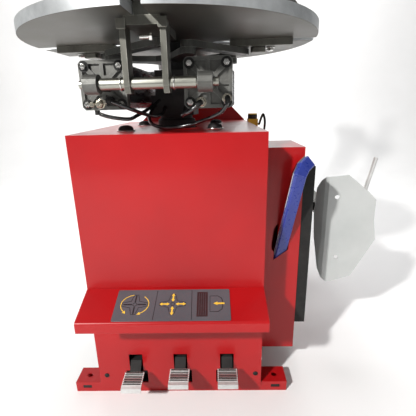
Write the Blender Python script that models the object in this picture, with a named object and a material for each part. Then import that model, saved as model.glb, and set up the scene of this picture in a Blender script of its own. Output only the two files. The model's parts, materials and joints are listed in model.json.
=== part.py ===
"""Tyre changer: cabinet with pedals, a four-jaw turntable driven by two air cylinders,
a tilt-back column with its mount head, and a bead breaker with blade and rubber pad.
Metres, +Z up, +X to the right of someone who stands at the pedals, -Y towards them."""
import bpy
import bmesh
from math import cos, sin, pi, radians, sqrt
from mathutils import Matrix, Vector

GAP = 0.0003

# Cabinet
CAB_W = 0.400
CAB_D = 0.546
CAB_TOP = 0.638
CAB_BOTTOM = 0.016
SHEET = 0.003
TOP_SHEET = 0.004
NECK_HOLE_R = 0.052

# Feet
FOOT_HALF = 0.265
FOOT_D = 0.050
FOOT_H = 0.0273
FOOT_SHEET = 0.003
ANCHOR_X = 0.237
ANCHOR_R = 0.007
REAR_FOOT_Y = 0.489

# Control shelf and its plate
SHELF_Z = 0.297
SHELF_OUT = 0.088
SHELF_FRONT_Z = 0.268
SHELF_LIP_Z = 0.244
PLATE_LEFT = -0.125
PLATE_RIGHT = 0.122
PLATE_T = 0.0012

# Pedals
PEDAL_X = (-0.106, 0.003, 0.116)
SLOT_UPPER_HALF = 0.0165
SLOT_LOWER_HALF = 0.0265
SLOT_BOTTOM = 0.030
SLOT_STEP = 0.067
SLOT_TOP = 0.115
PEDAL_PIVOT = (0.160, 0.078)
PEDAL_SHAFT_R = 0.006
PEDAL_ARM_HALF = 0.013
PEDAL_ARM_T = 0.006
PEDAL_PAD_HALF = 0.023
PEDAL_LEFT_DROP = radians(2.8)

# Turntable
AXIS_Y = 0.210
TABLE_TURN = radians(-4.3)
DISC_R = 0.330
DISC_UNDER = 0.830
DISC_T = 0.022
DISC_SLOT_HALF = 0.015
DISC_SLOT_INNER = 0.095

# Jaw slides, their links and the cross plate
SLIDE_UNDER = 0.8155
SLIDE_R0 = 0.135
SLIDE_R1 = 0.276
SLIDE_HALF = 0.030
RISER_R0 = 0.212
RISER_R1 = 0.272
RISER_HALF = 0.0135
LINK_PIN_R = 0.165
CROSS_R = 0.145
LINK_LEN = 0.175
LINK_UNDER = 0.8010
LINK_T = 0.0130
LINK_EYE_R = 0.0145
LINK_OUTER_HOLE_R = 0.0088
PIN_R = 0.0060
CROSS_UNDER = 0.7885
CROSS_T = 0.0120

# Fork, cross shafts and cylinders
FORK_R = 0.260
FORK_X = 0.034
FORK_T = 0.010
FORK_HALF = 0.0140
FORK_BOTTOM = 0.711
SHAFT_Z = 0.728
SHAFT_R = 0.010
SHAFT_NECK_R = 0.007
CYL_X = 0.100
CYL_Z = 0.7293
COVER_HALF = 0.045
COVER_FACE = 0.212
COVER_T = 0.016
COVER_POCKET = 0.005
KNUCKLE_R = 0.0168
KNUCKLE_HALF = 0.0125
BARREL_HALF = 0.042
BORE_R = 0.0355
BARREL_REAR = 0.036
REAR_COVER_T = 0.014
ROD_R = 0.0090
PISTON_R = 0.0349

# Column, arm and mount head
COLUMN_X = 0.022
COLUMN_HALF = 0.050
COLUMN_FRONT = 0.572
COLUMN_D = 0.100
COLUMN_FOOT_Z = 0.538
COLUMN_TOP = 1.480
COLUMN_WALL = 0.006
BASE_FRONT = CAB_D + GAP
BASE_HALF = 0.179
BASE_BOTTOM = 0.300
BASE_SHOULDER = 0.640
BASE_SLOPE = 0.060
BASE_PLATE_T = 0.012
CHEEK_T = 0.008
TILT_Y = 0.640
TILT_Z = 0.570
TILT_PIN_R = 0.012
ARM_Z = 1.410
ARM_HALF = 0.029
ARM_FRONT = 0.300
ARM_REAR = 0.790
HEAD_Y = 0.330
HEX_FLAT = 0.0175
HEX_BOTTOM = 1.080
HEX_TOP = 1.640

# Bead breaker
HOUSING_RIGHT = 0.2950
HOUSING_FRONT = 0.080
HOUSING_REAR = 0.225
HOUSING_BOTTOM = 0.068
HOUSING_TOP = 0.597
PAD_T = 0.026
PAD_BOTTOM = 0.144
PAD_TOP = 0.553
BREAKER_Y = 0.370
BREAKER_Z = 0.376
BLADE_LIFT = 0.010
ARM_X = 0.425
SWING_Y = 0.620
SWING_PIN_R = 0.009
BREAKER_ARM_HALF = 0.019
BLADE_T = 0.006
BLADE_FACE = radians(15.0)
BLADE_PIN = (0.436, 0.182)

# Tyre lever in its slot
LEVER_SLOT_X = 0.2500
LEVER_AT = (0.2530, HOUSING_FRONT, 0.380)
LEVER_DIR = Vector((0.103, -0.273, 0.956)).normalized()
LEVER_HALF = 0.0150
LEVER_SIDE = Vector((1.0, 0.25, 0.0)).normalized()

RED = (0.62, 0.030, 0.035, 1.0)
BLACK = (0.020, 0.020, 0.022, 1.0)


def clear_scene():
    for obj in list(bpy.data.objects):
        bpy.data.objects.remove(obj, do_unlink=True)


def material(name, color, metallic, roughness):
    mat = bpy.data.materials.new(name)
    mat.use_nodes = True
    bsdf = mat.node_tree.nodes["Principled BSDF"]
    bsdf.inputs["Base Color"].default_value = color
    bsdf.inputs["Metallic"].default_value = metallic
    bsdf.inputs["Roughness"].default_value = roughness
    return mat


def finish_mesh(bm, name):
    bmesh.ops.recalc_face_normals(bm, faces=bm.faces)
    mesh = bpy.data.meshes.new(name)
    bm.to_mesh(mesh)
    bm.free()
    obj = bpy.data.objects.new(name, mesh)
    bpy.context.scene.collection.objects.link(obj)
    return obj


def block(lo, hi, name="tmp"):
    bm = bmesh.new()
    bmesh.ops.create_cube(bm, size=1.0)
    for v in bm.verts:
        v.co = Vector([lo[i] + (hi[i] - lo[i]) * (v.co[i] + 0.5) for i in range(3)])
    return finish_mesh(bm, name)


def prism(points, lo, hi, axis="z", name="tmp"):
    """Outline given in the two remaining axes in X, Y, Z order, extruded from lo to hi along axis."""
    bm = bmesh.new()

    def place(p, h):
        if axis == "x":
            return Vector((h, p[0], p[1]))
        if axis == "y":
            return Vector((p[0], h, p[1]))
        return Vector((p[0], p[1], h))

    bottom = [bm.verts.new(place(p, lo)) for p in points]
    top = [bm.verts.new(place(p, hi)) for p in points]
    n = len(points)
    bm.faces.new(bottom)
    bm.faces.new(list(reversed(top)))
    for i in range(n):
        j = (i + 1) % n
        bm.faces.new((bottom[i], top[i], top[j], bottom[j]))
    return finish_mesh(bm, name)


def rod(p0, p1, r, n=20, r2=None, name="tmp"):
    p0 = Vector(p0)
    p1 = Vector(p1)
    bm = bmesh.new()
    bmesh.ops.create_cone(bm, cap_ends=True, segments=n, radius1=r, radius2=r if r2 is None else r2,
                          depth=(p1 - p0).length)
    turn = (p1 - p0).to_track_quat("Z", "Y").to_matrix().to_4x4()
    bmesh.ops.transform(bm, matrix=Matrix.Translation((p0 + p1) / 2) @ turn, verts=bm.verts)
    return finish_mesh(bm, name)


def turned(steps, centre, axis="z", n=24, name="tmp"):
    """Solid of revolution: steps are (radius, height) pairs from one end to the other."""
    bm = bmesh.new()
    rings = []
    for r, h in steps:
        ring = []
        for i in range(n):
            a = 2 * pi * i / n
            u = r * cos(a)
            w = r * sin(a)
            if axis == "z":
                co = (centre[0] + u, centre[1] + w, h)
            elif axis == "y":
                co = (centre[0] + u, h, centre[1] + w)
            else:
                co = (h, centre[0] + u, centre[1] + w)
            ring.append(bm.verts.new(co))
        rings.append(ring)
    for a, b in zip(rings, rings[1:]):
        for i in range(n):
            j = (i + 1) % n
            bm.faces.new((a[i], a[j], b[j], b[i]))
    bm.faces.new(rings[0])
    bm.faces.new(list(reversed(rings[-1])))
    return finish_mesh(bm, name)


def smooth_path(points, steps=6):
    """Catmull-Rom curve through the points."""
    pts = [Vector(p) for p in points]
    pts = [pts[0] * 2 - pts[1]] + pts + [pts[-1] * 2 - pts[-2]]
    out = []
    for i in range(1, len(pts) - 2):
        a, b, c, d = pts[i - 1:i + 3]
        for k in range(steps):
            t = k / steps
            out.append(0.5 * ((2 * b) + (c - a) * t + (2 * a - 5 * b + 4 * c - d) * t ** 2
                              + (3 * b - a - 3 * c + d) * t ** 3))
    out.append(pts[-2])
    return out


def sweep(path, section, side, name="tmp"):
    """Section points (u, w) carried along path. u lies along side, w along side x tangent."""
    bm = bmesh.new()
    rings = []
    u = Vector(side).normalized()
    for i, p in enumerate(path):
        before = (p - path[i - 1]).normalized() if i else Vector()
        after = (path[i + 1] - p).normalized() if i + 1 < len(path) else Vector()
        t = (before + after).normalized()
        u = (u - t * u.dot(t)).normalized()
        w = t.cross(u)
        rings.append([bm.verts.new(p + u * s[0] + w * s[1]) for s in section])
    n = len(section)
    for a, b in zip(rings, rings[1:]):
        for i in range(n):
            j = (i + 1) % n
            bm.faces.new((a[i], a[j], b[j], b[i]))
    bm.faces.new(rings[0])
    bm.faces.new(list(reversed(rings[-1])))
    return finish_mesh(bm, name)


def circle(r, n=10, centre=(0.0, 0.0)):
    return [(centre[0] + r * cos(2 * pi * i / n), centre[1] + r * sin(2 * pi * i / n)) for i in range(n)]


def combine(base, others, operation):
    """Joins or cuts solids one after another and leaves one closed mesh in base."""
    for other in others:
        mod = base.modifiers.new("b", "BOOLEAN")
        mod.operation = operation
        mod.solver = "EXACT"
        mod.object = other
        bpy.context.view_layer.update()
        graph = bpy.context.evaluated_depsgraph_get()
        mesh = bpy.data.meshes.new_from_object(base.evaluated_get(graph))
        base.modifiers.clear()
        base.data = mesh
        bpy.data.objects.remove(other, do_unlink=True)
    return base


def join(base, *others):
    return combine(base, others, "UNION")


def cut(base, *others):
    return combine(base, others, "DIFFERENCE")


def settle(obj, name, mat, origin=(0.0, 0.0, 0.0)):
    """Names a finished solid, gives it its material and puts its origin on its joint."""
    bm = bmesh.new()
    bm.from_mesh(obj.data)
    bmesh.ops.remove_doubles(bm, verts=bm.verts, dist=0.00002)
    bmesh.ops.dissolve_degenerate(bm, edges=bm.edges, dist=0.00002)
    bmesh.ops.triangulate(bm, faces=bm.faces, quad_method="BEAUTY", ngon_method="BEAUTY")
    bmesh.ops.recalc_face_normals(bm, faces=bm.faces)
    bmesh.ops.translate(bm, verts=bm.verts, vec=-Vector(origin))
    mesh = bpy.data.meshes.new(name)
    bm.to_mesh(mesh)
    bm.free()
    mesh.materials.append(mat)
    obj.data = mesh
    obj.name = name
    obj.location = origin
    return obj


def on_table(obj, quarter=0.0):
    """From the turntable's own axes (front is -Y, centre at 0, 0) to the machine's."""
    turn = Matrix.Rotation(TABLE_TURN + quarter, 4, "Z")
    obj.data.transform(Matrix.Translation((0.0, AXIS_Y, 0.0)) @ turn)
    return obj


def table_point(x, y, z, quarter=0.0):
    turn = Matrix.Rotation(TABLE_TURN + quarter, 4, "Z")
    return Matrix.Translation((0.0, AXIS_Y, 0.0)) @ turn @ Vector((x, y, z))


# ---------------------------------------------------------------- cabinet

def t_slot(x):
    return [(x - SLOT_LOWER_HALF, SLOT_BOTTOM), (x + SLOT_LOWER_HALF, SLOT_BOTTOM),
            (x + SLOT_LOWER_HALF, SLOT_STEP), (x + SLOT_UPPER_HALF, SLOT_STEP),
            (x + SLOT_UPPER_HALF, SLOT_TOP), (x - SLOT_UPPER_HALF, SLOT_TOP),
            (x - SLOT_UPPER_HALF, SLOT_STEP), (x - SLOT_LOWER_HALF, SLOT_STEP)]


def build_cabinet(red):
    h = CAB_W / 2
    front = block((-h, 0, CAB_BOTTOM), (h, SHEET, CAB_TOP))
    cut(front, *[prism(t_slot(x), -0.01, 0.02, "y") for x in PEDAL_X])
    settle(front, "front_panel", red)
    top = block((-h, SHEET + GAP, CAB_TOP - TOP_SHEET), (h, CAB_D, CAB_TOP))
    cut(top, rod((0, AXIS_Y, 0.6), (0, AXIS_Y, 0.7), NECK_HOLE_R, 32))
    settle(top, "top_plate", red)
    y0 = SHEET + GAP
    z0 = FOOT_H + GAP
    z1 = CAB_TOP - TOP_SHEET - GAP
    left = block((-h, y0, z0), (-h + SHEET, CAB_D - SHEET - GAP, z1))
    settle(left, "side_cover_left", red)
    right = block((h - SHEET, y0, z0), (h, CAB_D - SHEET - GAP, z1))
    cut(right, rod((h - 0.02, BREAKER_Y, BREAKER_Z), (h + 0.02, BREAKER_Y, BREAKER_Z), 0.016, 20))
    settle(right, "side_panel_right", red)
    rear = block((-h, CAB_D - SHEET, z0), (h, CAB_D, z1))
    settle(rear, "rear_panel", red)


def build_foot(name, y0, red):
    """Channel open below, with lips turned in, an anchor hole and a slot near each end."""
    t = FOOT_SHEET
    y1 = y0 + FOOT_D
    lip = 0.012
    outline = [(y0, 0), (y0 + lip, 0), (y0 + lip, t), (y0 + t, t), (y0 + t, FOOT_H - t),
               (y1 - t, FOOT_H - t), (y1 - t, t), (y1 - lip, t), (y1 - lip, 0), (y1, 0),
               (y1, FOOT_H), (y0, FOOT_H)]
    foot = prism(outline, -FOOT_HALF, FOOT_HALF, "x")
    yc = y0 + 0.024
    cuts = []
    for s in (-1, 1):
        cuts.append(rod((s * ANCHOR_X, yc, FOOT_H - 0.01), (s * ANCHOR_X, yc, FOOT_H + 0.01), ANCHOR_R, 20))
        cuts.append(block((s * ANCHOR_X - 0.011, y0 - 0.01, 0.010), (s * ANCHOR_X + 0.011, y0 + t + 0.004, 0.019)))
    cut(foot, *cuts)
    settle(foot, name, red)


def build_shelf(red, grey):
    """Sheet that slopes down and out from the front panel, then turns down at its rounded edge."""
    h = CAB_W / 2
    t = SHEET
    slope = (SHELF_Z - SHELF_FRONT_Z) / SHELF_OUT
    ux = -1 / sqrt(1 + slope ** 2)
    uz = -slope / sqrt(1 + slope ** 2)
    r = 0.007
    wall = -GAP
    outer = [(wall, SHELF_Z), (-SHELF_OUT - ux * r, SHELF_FRONT_Z - uz * r)]
    outer += [(-SHELF_OUT - ux * r * 0.35, SHELF_FRONT_Z - uz * r * 0.35 - 0.0006)]
    outer += [(-SHELF_OUT + 0.0004, SHELF_FRONT_Z - 0.0030), (-SHELF_OUT, SHELF_FRONT_Z - r)]
    outer += [(-SHELF_OUT, SHELF_LIP_Z)]
    inner = [(-SHELF_OUT + t, SHELF_LIP_Z), (-SHELF_OUT + t, SHELF_FRONT_Z - r - 0.001)]
    inner += [(-SHELF_OUT + r, SHELF_FRONT_Z - 0.0032), (wall - t, SHELF_Z - t * 1.25)]
    inner += [(wall - t, SHELF_Z - 0.022), (wall, SHELF_Z - 0.022)]
    settle(prism(outer + inner, -h, h, "x"), "control_shelf", red)
    n = (uz, -ux)
    start = 0.006
    length = 0.082
    a = (wall + ux * start + n[0] * GAP, SHELF_Z + uz * start + n[1] * GAP)
    b = (a[0] + ux * length, a[1] + uz * length)
    quad = [a, b, (b[0] + n[0] * PLATE_T, b[1] + n[1] * PLATE_T), (a[0] + n[0] * PLATE_T, a[1] + n[1] * PLATE_T)]
    settle(prism(quad, PLATE_LEFT, PLATE_RIGHT, "x"), "control_plate", grey)


def build_drive(iron):
    """Worm gearbox hung under the top plate, its neck through the plate."""
    y = AXIS_Y
    z1 = CAB_TOP - TOP_SHEET - GAP
    box = block((-0.095, y - 0.085, 0.500), (0.095, y + 0.085, z1))
    join(box, turned([(0.047, z1 - 0.02), (0.047, 0.656), (0.043, 0.660)], (0.0, y), "z", 32))
    join(box, rod((0.05, y, 0.520), (0.05, y, 0.470), 0.022, 20))
    settle(box, "gearbox", iron)


# ---------------------------------------------------------------- pedals

def arm_outline():
    """Side view (y, z) of one stem: eye on the shaft, strip through the slot, bent down to the pad."""
    py, pz = PEDAL_PIVOT
    t = PEDAL_ARM_T
    eye = [(py + 0.013 * cos(a), pz + 0.013 * sin(a)) for a in [radians(d) for d in range(-120, 121, 30)]]
    upper = [(0.100, 0.0995), (0.004, 0.1030), (-0.019, 0.0850), (-0.056, 0.0835)]
    lower = [(-0.057, 0.0835 - t), (-0.021, 0.0850 - t), (0.002, 0.1030 - t * 1.15), (0.098, 0.0995 - t)]
    return eye + upper + lower


def pad_outline():
    """Side view (y, z) of the ribbed pad, with its lip bent down in front."""
    top = []
    y0, z0 = -0.0180, 0.0895
    y1, z1 = -0.0570, 0.0880
    ribs = 7
    for i in range(ribs):
        for f, drop in ((0.0, 0.0018), (0.22, 0.0), (0.70, 0.0), (0.92, 0.0018)):
            k = (i + f) / ribs
            top.append((y0 + (y1 - y0) * k, z0 + (z1 - z0) * k - drop))
    front = [(-0.0580, 0.0880), (-0.0640, 0.0855), (-0.0680, 0.0770), (-0.0655, 0.0762), (-0.0615, 0.0825)]
    under = [(-0.0575, 0.0839), (-0.0185, 0.0854)]
    return top + front + under


def build_pedal(x, tag, drop, black, alloy):
    py, pz = PEDAL_PIVOT
    pivot = (x, py, pz)
    turn = Matrix.Translation(pivot) @ Matrix.Rotation(drop, 4, "X") @ Matrix.Translation(-Vector(pivot))
    arm = prism(arm_outline(), x - PEDAL_ARM_HALF, x + PEDAL_ARM_HALF, "x")
    cut(arm, rod((x - 0.03, py, pz), (x + 0.03, py, pz), PEDAL_SHAFT_R + 0.0006, 24))
    arm.data.transform(turn)
    settle(arm, "pedal_arm_" + tag, black, pivot)
    pad = prism(pad_outline(), x - PEDAL_PAD_HALF, x + PEDAL_PAD_HALF, "x")
    pad.data.transform(turn)
    settle(pad, "pedal_pad_" + tag, alloy, pivot)


def build_pedal_frame(black):
    """Floor plate on the front foot, two ears, and the shaft that all three pedals turn on."""
    py, pz = PEDAL_PIVOT
    x0, x1 = -0.150, 0.160
    z0 = FOOT_H + GAP
    frame = block((x0, 0.006, z0), (x1, py + 0.040, z0 + 0.004))
    for x in (x0, x1 - 0.006):
        join(frame, block((x, py - 0.025, z0 + 0.001), (x + 0.006, py + 0.025, pz + 0.020)))
    join(frame, rod((x0 + 0.002, py, pz), (x1 - 0.002, py, pz), PEDAL_SHAFT_R, 24))
    settle(frame, "pedal_frame", black)


# ---------------------------------------------------------------- turntable

def build_disc(steel):
    """Disc with four slots open at the rim."""
    pts = []
    half = DISC_SLOT_HALF
    edge = sqrt(DISC_R ** 2 - half ** 2)
    a0 = math_asin(half / DISC_R)
    arc = 14
    for q in range(4):
        base = q * pi / 2
        c, s = cos(base), sin(base)
        for u, w in ((edge, -half), (DISC_SLOT_INNER + 0.006, -half), (DISC_SLOT_INNER, -half + 0.006),
                     (DISC_SLOT_INNER, half - 0.006), (DISC_SLOT_INNER + 0.006, half), (edge, half)):
            pts.append((u * c - w * s, u * s + w * c))
        for i in range(1, arc):
            a = base + a0 + (pi / 2 - 2 * a0) * i / arc
            pts.append((DISC_R * cos(a), DISC_R * sin(a)))
    disc = prism(pts, DISC_UNDER, DISC_UNDER + DISC_T, "z")
    return settle(on_table(disc), "table_disc", steel, (0, AXIS_Y, 0))


def math_asin(x):
    """Angle whose sine is x, for the small angles used here."""
    return Vector((sqrt(1 - x * x), x)).angle_signed(Vector((1.0, 0.0)))


def build_hub(black):
    """Rotary air coupling and spindle that carry the disc."""
    body = block((-0.050, -0.050, 0.668), (0.050, 0.050, 0.714))
    join(body, turned([(0.040, 0.6605), (0.040, 0.680)], (0, 0), "z", 28))
    join(body, block((-0.041, -0.041, 0.700), (0.041, 0.041, 0.770)))
    join(body, turned([(0.026, 0.760), (0.026, DISC_UNDER - GAP)], (0, 0), "z", 28))
    settle(on_table(body), "rotary_hub", black, (0, AXIS_Y, 0))


def slide_body(fork):
    """Built for the slot that points to -Y: plate, riser through the slot, link pin, and a fork on two."""
    plate = block((-SLIDE_HALF, -SLIDE_R1, SLIDE_UNDER), (SLIDE_HALF, -SLIDE_R0, DISC_UNDER - GAP))
    join(plate, block((-RISER_HALF, -RISER_R1, SLIDE_UNDER + 0.004), (RISER_HALF, -RISER_R0, DISC_UNDER + DISC_T)))
    join(plate, rod((0, -LINK_PIN_R, SLIDE_UNDER + 0.003), (0, -LINK_PIN_R, LINK_UNDER + 0.0006), PIN_R, 20))
    if fork:
        y0, y1 = -FORK_R - FORK_HALF, -FORK_R + FORK_HALF
        outline = [(y0, SLIDE_UNDER + 0.010), (y0, FORK_BOTTOM + 0.012), (y0 + 0.006, FORK_BOTTOM),
                   (y1 - 0.006, FORK_BOTTOM), (y1, FORK_BOTTOM + 0.012), (y1, SLIDE_UNDER + 0.010)]
        for s in (-1, 1):
            x = s * FORK_X
            leg = prism(outline, x - FORK_T / 2, x + FORK_T / 2, "x")
            join(plate, leg)
        cut(plate, rod((-0.06, -FORK_R, SHAFT_Z), (0.06, -FORK_R, SHAFT_Z), SHAFT_R + 0.0004, 28))
    return plate


def jaw_body():
    """Clamp on top of a slide: flat foot, stepped claw that rises at the outer end and hooks inwards."""
    z = DISC_UNDER + DISC_T + GAP
    outline = [(-0.205, z), (-0.205, z + 0.012), (-0.214, z + 0.018), (-0.244, z + 0.018),
               (-0.252, z + 0.030), (-0.246, z + 0.045), (-0.252, z + 0.054), (-0.276, z + 0.054),
               (-0.296, z + 0.030), (-0.304, z + 0.012), (-0.304, z)]
    return prism(outline, -0.024, 0.024, "x")


def quarter_of(i):
    return i * pi / 2


SLOT_NAMES = ("front", "right", "rear", "left")


def build_slides(dark, cast):
    for i, tag in enumerate(SLOT_NAMES):
        q = quarter_of(i)
        where = table_point(0, -LINK_PIN_R, DISC_UNDER, q)
        settle(on_table(slide_body(i % 2 == 0), q), "slide_" + tag, dark, where)
        settle(on_table(jaw_body(), q), "jaw_" + tag, cast, where)


def cross_pin_angle():
    """Angle of a cross plate pin from its slot's direction, from the link's length."""
    c = (LINK_PIN_R ** 2 + CROSS_R ** 2 - LINK_LEN ** 2) / (2 * LINK_PIN_R * CROSS_R)
    return -Vector((c, sqrt(1 - c * c))).angle(Vector((1.0, 0.0)))


def build_links(steel):
    """Cross plate that turns on the spindle, and four links out to the slides."""
    lead = cross_pin_angle()
    z0, z1 = CROSS_UNDER, CROSS_UNDER + CROSS_T
    outline = []
    pins = []
    for i in range(4):
        a = -pi / 2 + quarter_of(i) + lead
        d = Vector((cos(a), sin(a)))
        w = Vector((-sin(a), cos(a)))
        p = d * CROSS_R
        outline.append((d * 0.048 - w * 0.024))
        for k in range(7):
            b = a - pi / 2 + pi * k / 6
            outline.append(p + Vector((cos(b), sin(b))) * 0.0165)
        outline.append((d * 0.048 + w * 0.024))
        pins.append(p)
    plate = prism(outline, z0, z1, "z")
    cut(plate, rod((0, 0, z0 - 0.01), (0, 0, z1 + 0.01), 0.0265, 28))
    for p in pins:
        join(plate, turned([(PIN_R, z1 - 0.004), (PIN_R, SLIDE_UNDER - 0.0007)], (p.x, p.y), "z", 20))
    settle(on_table(plate), "cross_plate", steel, (0, AXIS_Y, 0))
    for i, tag in enumerate(SLOT_NAMES):
        q = quarter_of(i)
        a = -pi / 2 + lead
        p0 = Vector((cos(a), sin(a))) * CROSS_R
        p1 = Vector((0, -LINK_PIN_R))
        link = link_bar(p0, p1)
        settle(on_table(link, q), "link_" + tag, steel, table_point(p0.x, p0.y, LINK_UNDER, q))


def link_bar(p0, p1):
    """Flat bar with a round end about each pin hole."""
    z0, z1 = LINK_UNDER, LINK_UNDER + LINK_T
    d = (p1 - p0).normalized()
    start = Vector((1.0, 0.0)).angle_signed(d) * -1
    pts = []
    for centre, first in ((p1, start - pi / 2), (p0, start + pi / 2)):
        for k in range(9):
            a = first + pi * k / 8
            pts.append((centre.x + LINK_EYE_R * cos(a), centre.y + LINK_EYE_R * sin(a)))
    bar = prism(pts, z0, z1, "z")
    cut(bar, rod((p0.x, p0.y, z0 - 0.01), (p0.x, p0.y, z1 + 0.01), PIN_R + 0.0003, 24))
    cut(bar, rod((p1.x, p1.y, z0 - 0.01), (p1.x, p1.y, z1 + 0.01), LINK_OUTER_HOLE_R, 24))
    return bar


def cover_pockets(x, y):
    """Eight triangular pockets between an upright cross and a diagonal one."""
    rim = COVER_HALF - 0.0065
    rib = 0.0035
    inner = KNUCKLE_R + 0.0005
    out = []
    for k in range(4):
        turn = Matrix.Rotation(k * pi / 2, 2)
        for s in (-1, 1):
            tri = [Vector((s * rib, inner)), Vector((s * rib, rim)), Vector((s * (rim - rib * 2.0), rim)),
                   Vector((s * (inner * 0.72), inner * 1.02))]
            tri = [turn @ p for p in tri]
            tri = [(x + p.x, CYL_Z + p.y) for p in tri]
            out.append(prism(tri, y - 0.02, y + COVER_POCKET, "y"))
    return out


def build_cylinder(side, tag, alloy, cast, chrome):
    x = side * CYL_X
    yf = -COVER_FACE
    cover = prism(chamfered(x, CYL_Z, COVER_HALF, 0.006), yf, yf + COVER_T, "y")
    cut(cover, *cover_pockets(x, yf))
    join(cover, rod((x - KNUCKLE_HALF, -FORK_R, SHAFT_Z), (x + KNUCKLE_HALF, -FORK_R, SHAFT_Z), KNUCKLE_R, 24))
    neck = 0.0115
    join(cover, block((x - KNUCKLE_HALF, -FORK_R + 0.004, SHAFT_Z - neck), (x + KNUCKLE_HALF, yf + 0.004, SHAFT_Z + neck)))
    cut(cover, rod((x - 0.04, -FORK_R, SHAFT_Z), (x + 0.04, -FORK_R, SHAFT_Z), SHAFT_NECK_R + 0.0004, 24))
    origin = table_point(x, -FORK_R, SHAFT_Z)
    settle(on_table(cover), "cylinder_cover_" + tag, cast, origin)
    y0 = yf + COVER_T + GAP
    barrel = prism(chamfered(x, CYL_Z, BARREL_HALF, 0.010), y0, BARREL_REAR + 0.001, "y")
    join(barrel, prism(chamfered(x, CYL_Z, COVER_HALF, 0.006), BARREL_REAR, BARREL_REAR + REAR_COVER_T, "y"))
    cut(barrel, rod((x, y0 - 0.01, CYL_Z), (x, BARREL_REAR, CYL_Z), BORE_R, 28))
    cut(barrel, rod((x, BARREL_REAR - 0.01, CYL_Z), (x, BARREL_REAR + 0.03, CYL_Z), ROD_R + 0.0005, 24))
    settle(on_table(barrel), "cylinder_barrel_" + tag, alloy, origin)
    y1 = FORK_R
    piston = turned([(PISTON_R, -0.100), (PISTON_R, -0.082), (ROD_R, -0.082), (ROD_R, y1 - 0.012)], (x, CYL_Z), "y", 28)
    join(piston, rod((x - 0.013, y1, SHAFT_Z), (x + 0.013, y1, SHAFT_Z), KNUCKLE_R, 24))
    cut(piston, rod((x - 0.04, y1, SHAFT_Z), (x + 0.04, y1, SHAFT_Z), SHAFT_NECK_R + 0.0004, 24))
    settle(on_table(piston), "cylinder_rod_" + tag, chrome, table_point(x, y1, SHAFT_Z))


def chamfered(x, z, half, c):
    pts = []
    for sx, sz in ((1, 1), (-1, 1), (-1, -1), (1, -1)):
        first = (x + sx * half, z + sz * (half - c))
        second = (x + sx * (half - c), z + sz * half)
        pts += [first, second] if sx * sz > 0 else [second, first]
    return pts


def build_cross_shaft(tag, quarter, steel):
    """Thick between the knuckles, stepped down where it runs through them."""
    r, n = SHAFT_R, SHAFT_NECK_R
    a = CYL_X - KNUCKLE_HALF - 0.003
    b = CYL_X + KNUCKLE_HALF + 0.010
    steps = [(n, -b), (n, -a), (r, -a), (r, a), (n, a), (n, b)]
    shaft = turned(steps, (-FORK_R, SHAFT_Z), "x", 24)
    settle(on_table(shaft, quarter), "cross_shaft_" + tag, steel, table_point(0, -FORK_R, SHAFT_Z, quarter))


def build_hoses(black):
    """Air hoses from the front covers round to the rotary coupling, under the barrels."""
    r = 0.0037
    left = [(-0.086, -0.2235, 0.7020), (-0.070, -0.2300, 0.6960), (-0.046, -0.2150, 0.6840),
            (-0.024, -0.1500, 0.6700), (-0.016, -0.0900, 0.6740), (-0.016, -0.0620, 0.6860),
            (-0.016, -0.0505, 0.6860)]
    right = [(0.137, -0.2235, 0.6980), (0.133, -0.2240, 0.6880), (0.120, -0.2120, 0.6740),
             (0.078, -0.1800, 0.6580), (0.040, -0.1740, 0.6490), (0.000, -0.1600, 0.6470),
             (-0.030, -0.1350, 0.6530), (-0.044, -0.1000, 0.6680), (-0.042, -0.0620, 0.6880),
             (-0.041, -0.0505, 0.6900)]
    for tag, pts in (("left", left), ("right", right)):
        tube = sweep(smooth_path(pts, 5), circle(r, 8), (0, 0, 1))
        settle(on_table(tube), "air_hose_" + tag, black, (0, AXIS_Y, 0))


# ---------------------------------------------------------------- column and mount head

def build_column_base(red):
    """Front plate with sloping shoulders behind the cabinet, and two cheeks with the tilt pin across them."""
    x0, x1 = COLUMN_X - BASE_HALF, COLUMN_X + BASE_HALF
    s = BASE_SLOPE
    outline = [(x0, BASE_BOTTOM), (x1, BASE_BOTTOM), (x1, BASE_SHOULDER), (x1 - s, BASE_SHOULDER + s),
               (x0 + s, BASE_SHOULDER + s), (x0, BASE_SHOULDER)]
    y0 = BASE_FRONT
    base = prism(outline, y0, y0 + BASE_PLATE_T, "y")
    inner = COLUMN_HALF + 0.002
    side = [(y0 + 0.004, 0.420), (0.700, 0.480), (0.700, 0.600), (0.660, 0.660), (y0 + 0.004, 0.680)]
    for sx in (-1, 1):
        a = COLUMN_X + sx * inner
        b = COLUMN_X + sx * (inner + CHEEK_T)
        join(base, prism(side, min(a, b), max(a, b), "x"))
    half = inner + CHEEK_T + 0.006
    join(base, rod((COLUMN_X - half, TILT_Y, TILT_Z), (COLUMN_X + half, TILT_Y, TILT_Z), TILT_PIN_R, 24))
    settle(base, "column_base", red)


def build_column(red, steel):
    """Box column on its tilt pin, with the guide box for the arm at the top."""
    x0, x1 = COLUMN_X - COLUMN_HALF, COLUMN_X + COLUMN_HALF
    y0, y1 = COLUMN_FRONT, COLUMN_FRONT + COLUMN_D
    column = block((x0, y0, COLUMN_FOOT_Z), (x1, y1, COLUMN_TOP - 0.03))
    join(column, block((x0 - 0.006, y0 - 0.020, ARM_Z - 0.052), (x1 + 0.006, y1 + 0.020, ARM_Z + 0.052)))
    w = COLUMN_WALL
    cut(column, block((x0 + w, y0 + w, COLUMN_FOOT_Z - 0.01), (x1 - w, y1 - w, ARM_Z - 0.060)))
    g = ARM_HALF + 0.001
    cut(column, block((COLUMN_X - g, y0 - 0.05, ARM_Z - g), (COLUMN_X + g, y1 + 0.05, ARM_Z + g)))
    cut(column, rod((x0 - 0.05, TILT_Y, TILT_Z), (x1 + 0.05, TILT_Y, TILT_Z), TILT_PIN_R + 0.0006, 24))
    settle(column, "column", red, (COLUMN_X, TILT_Y, TILT_Z))


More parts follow.
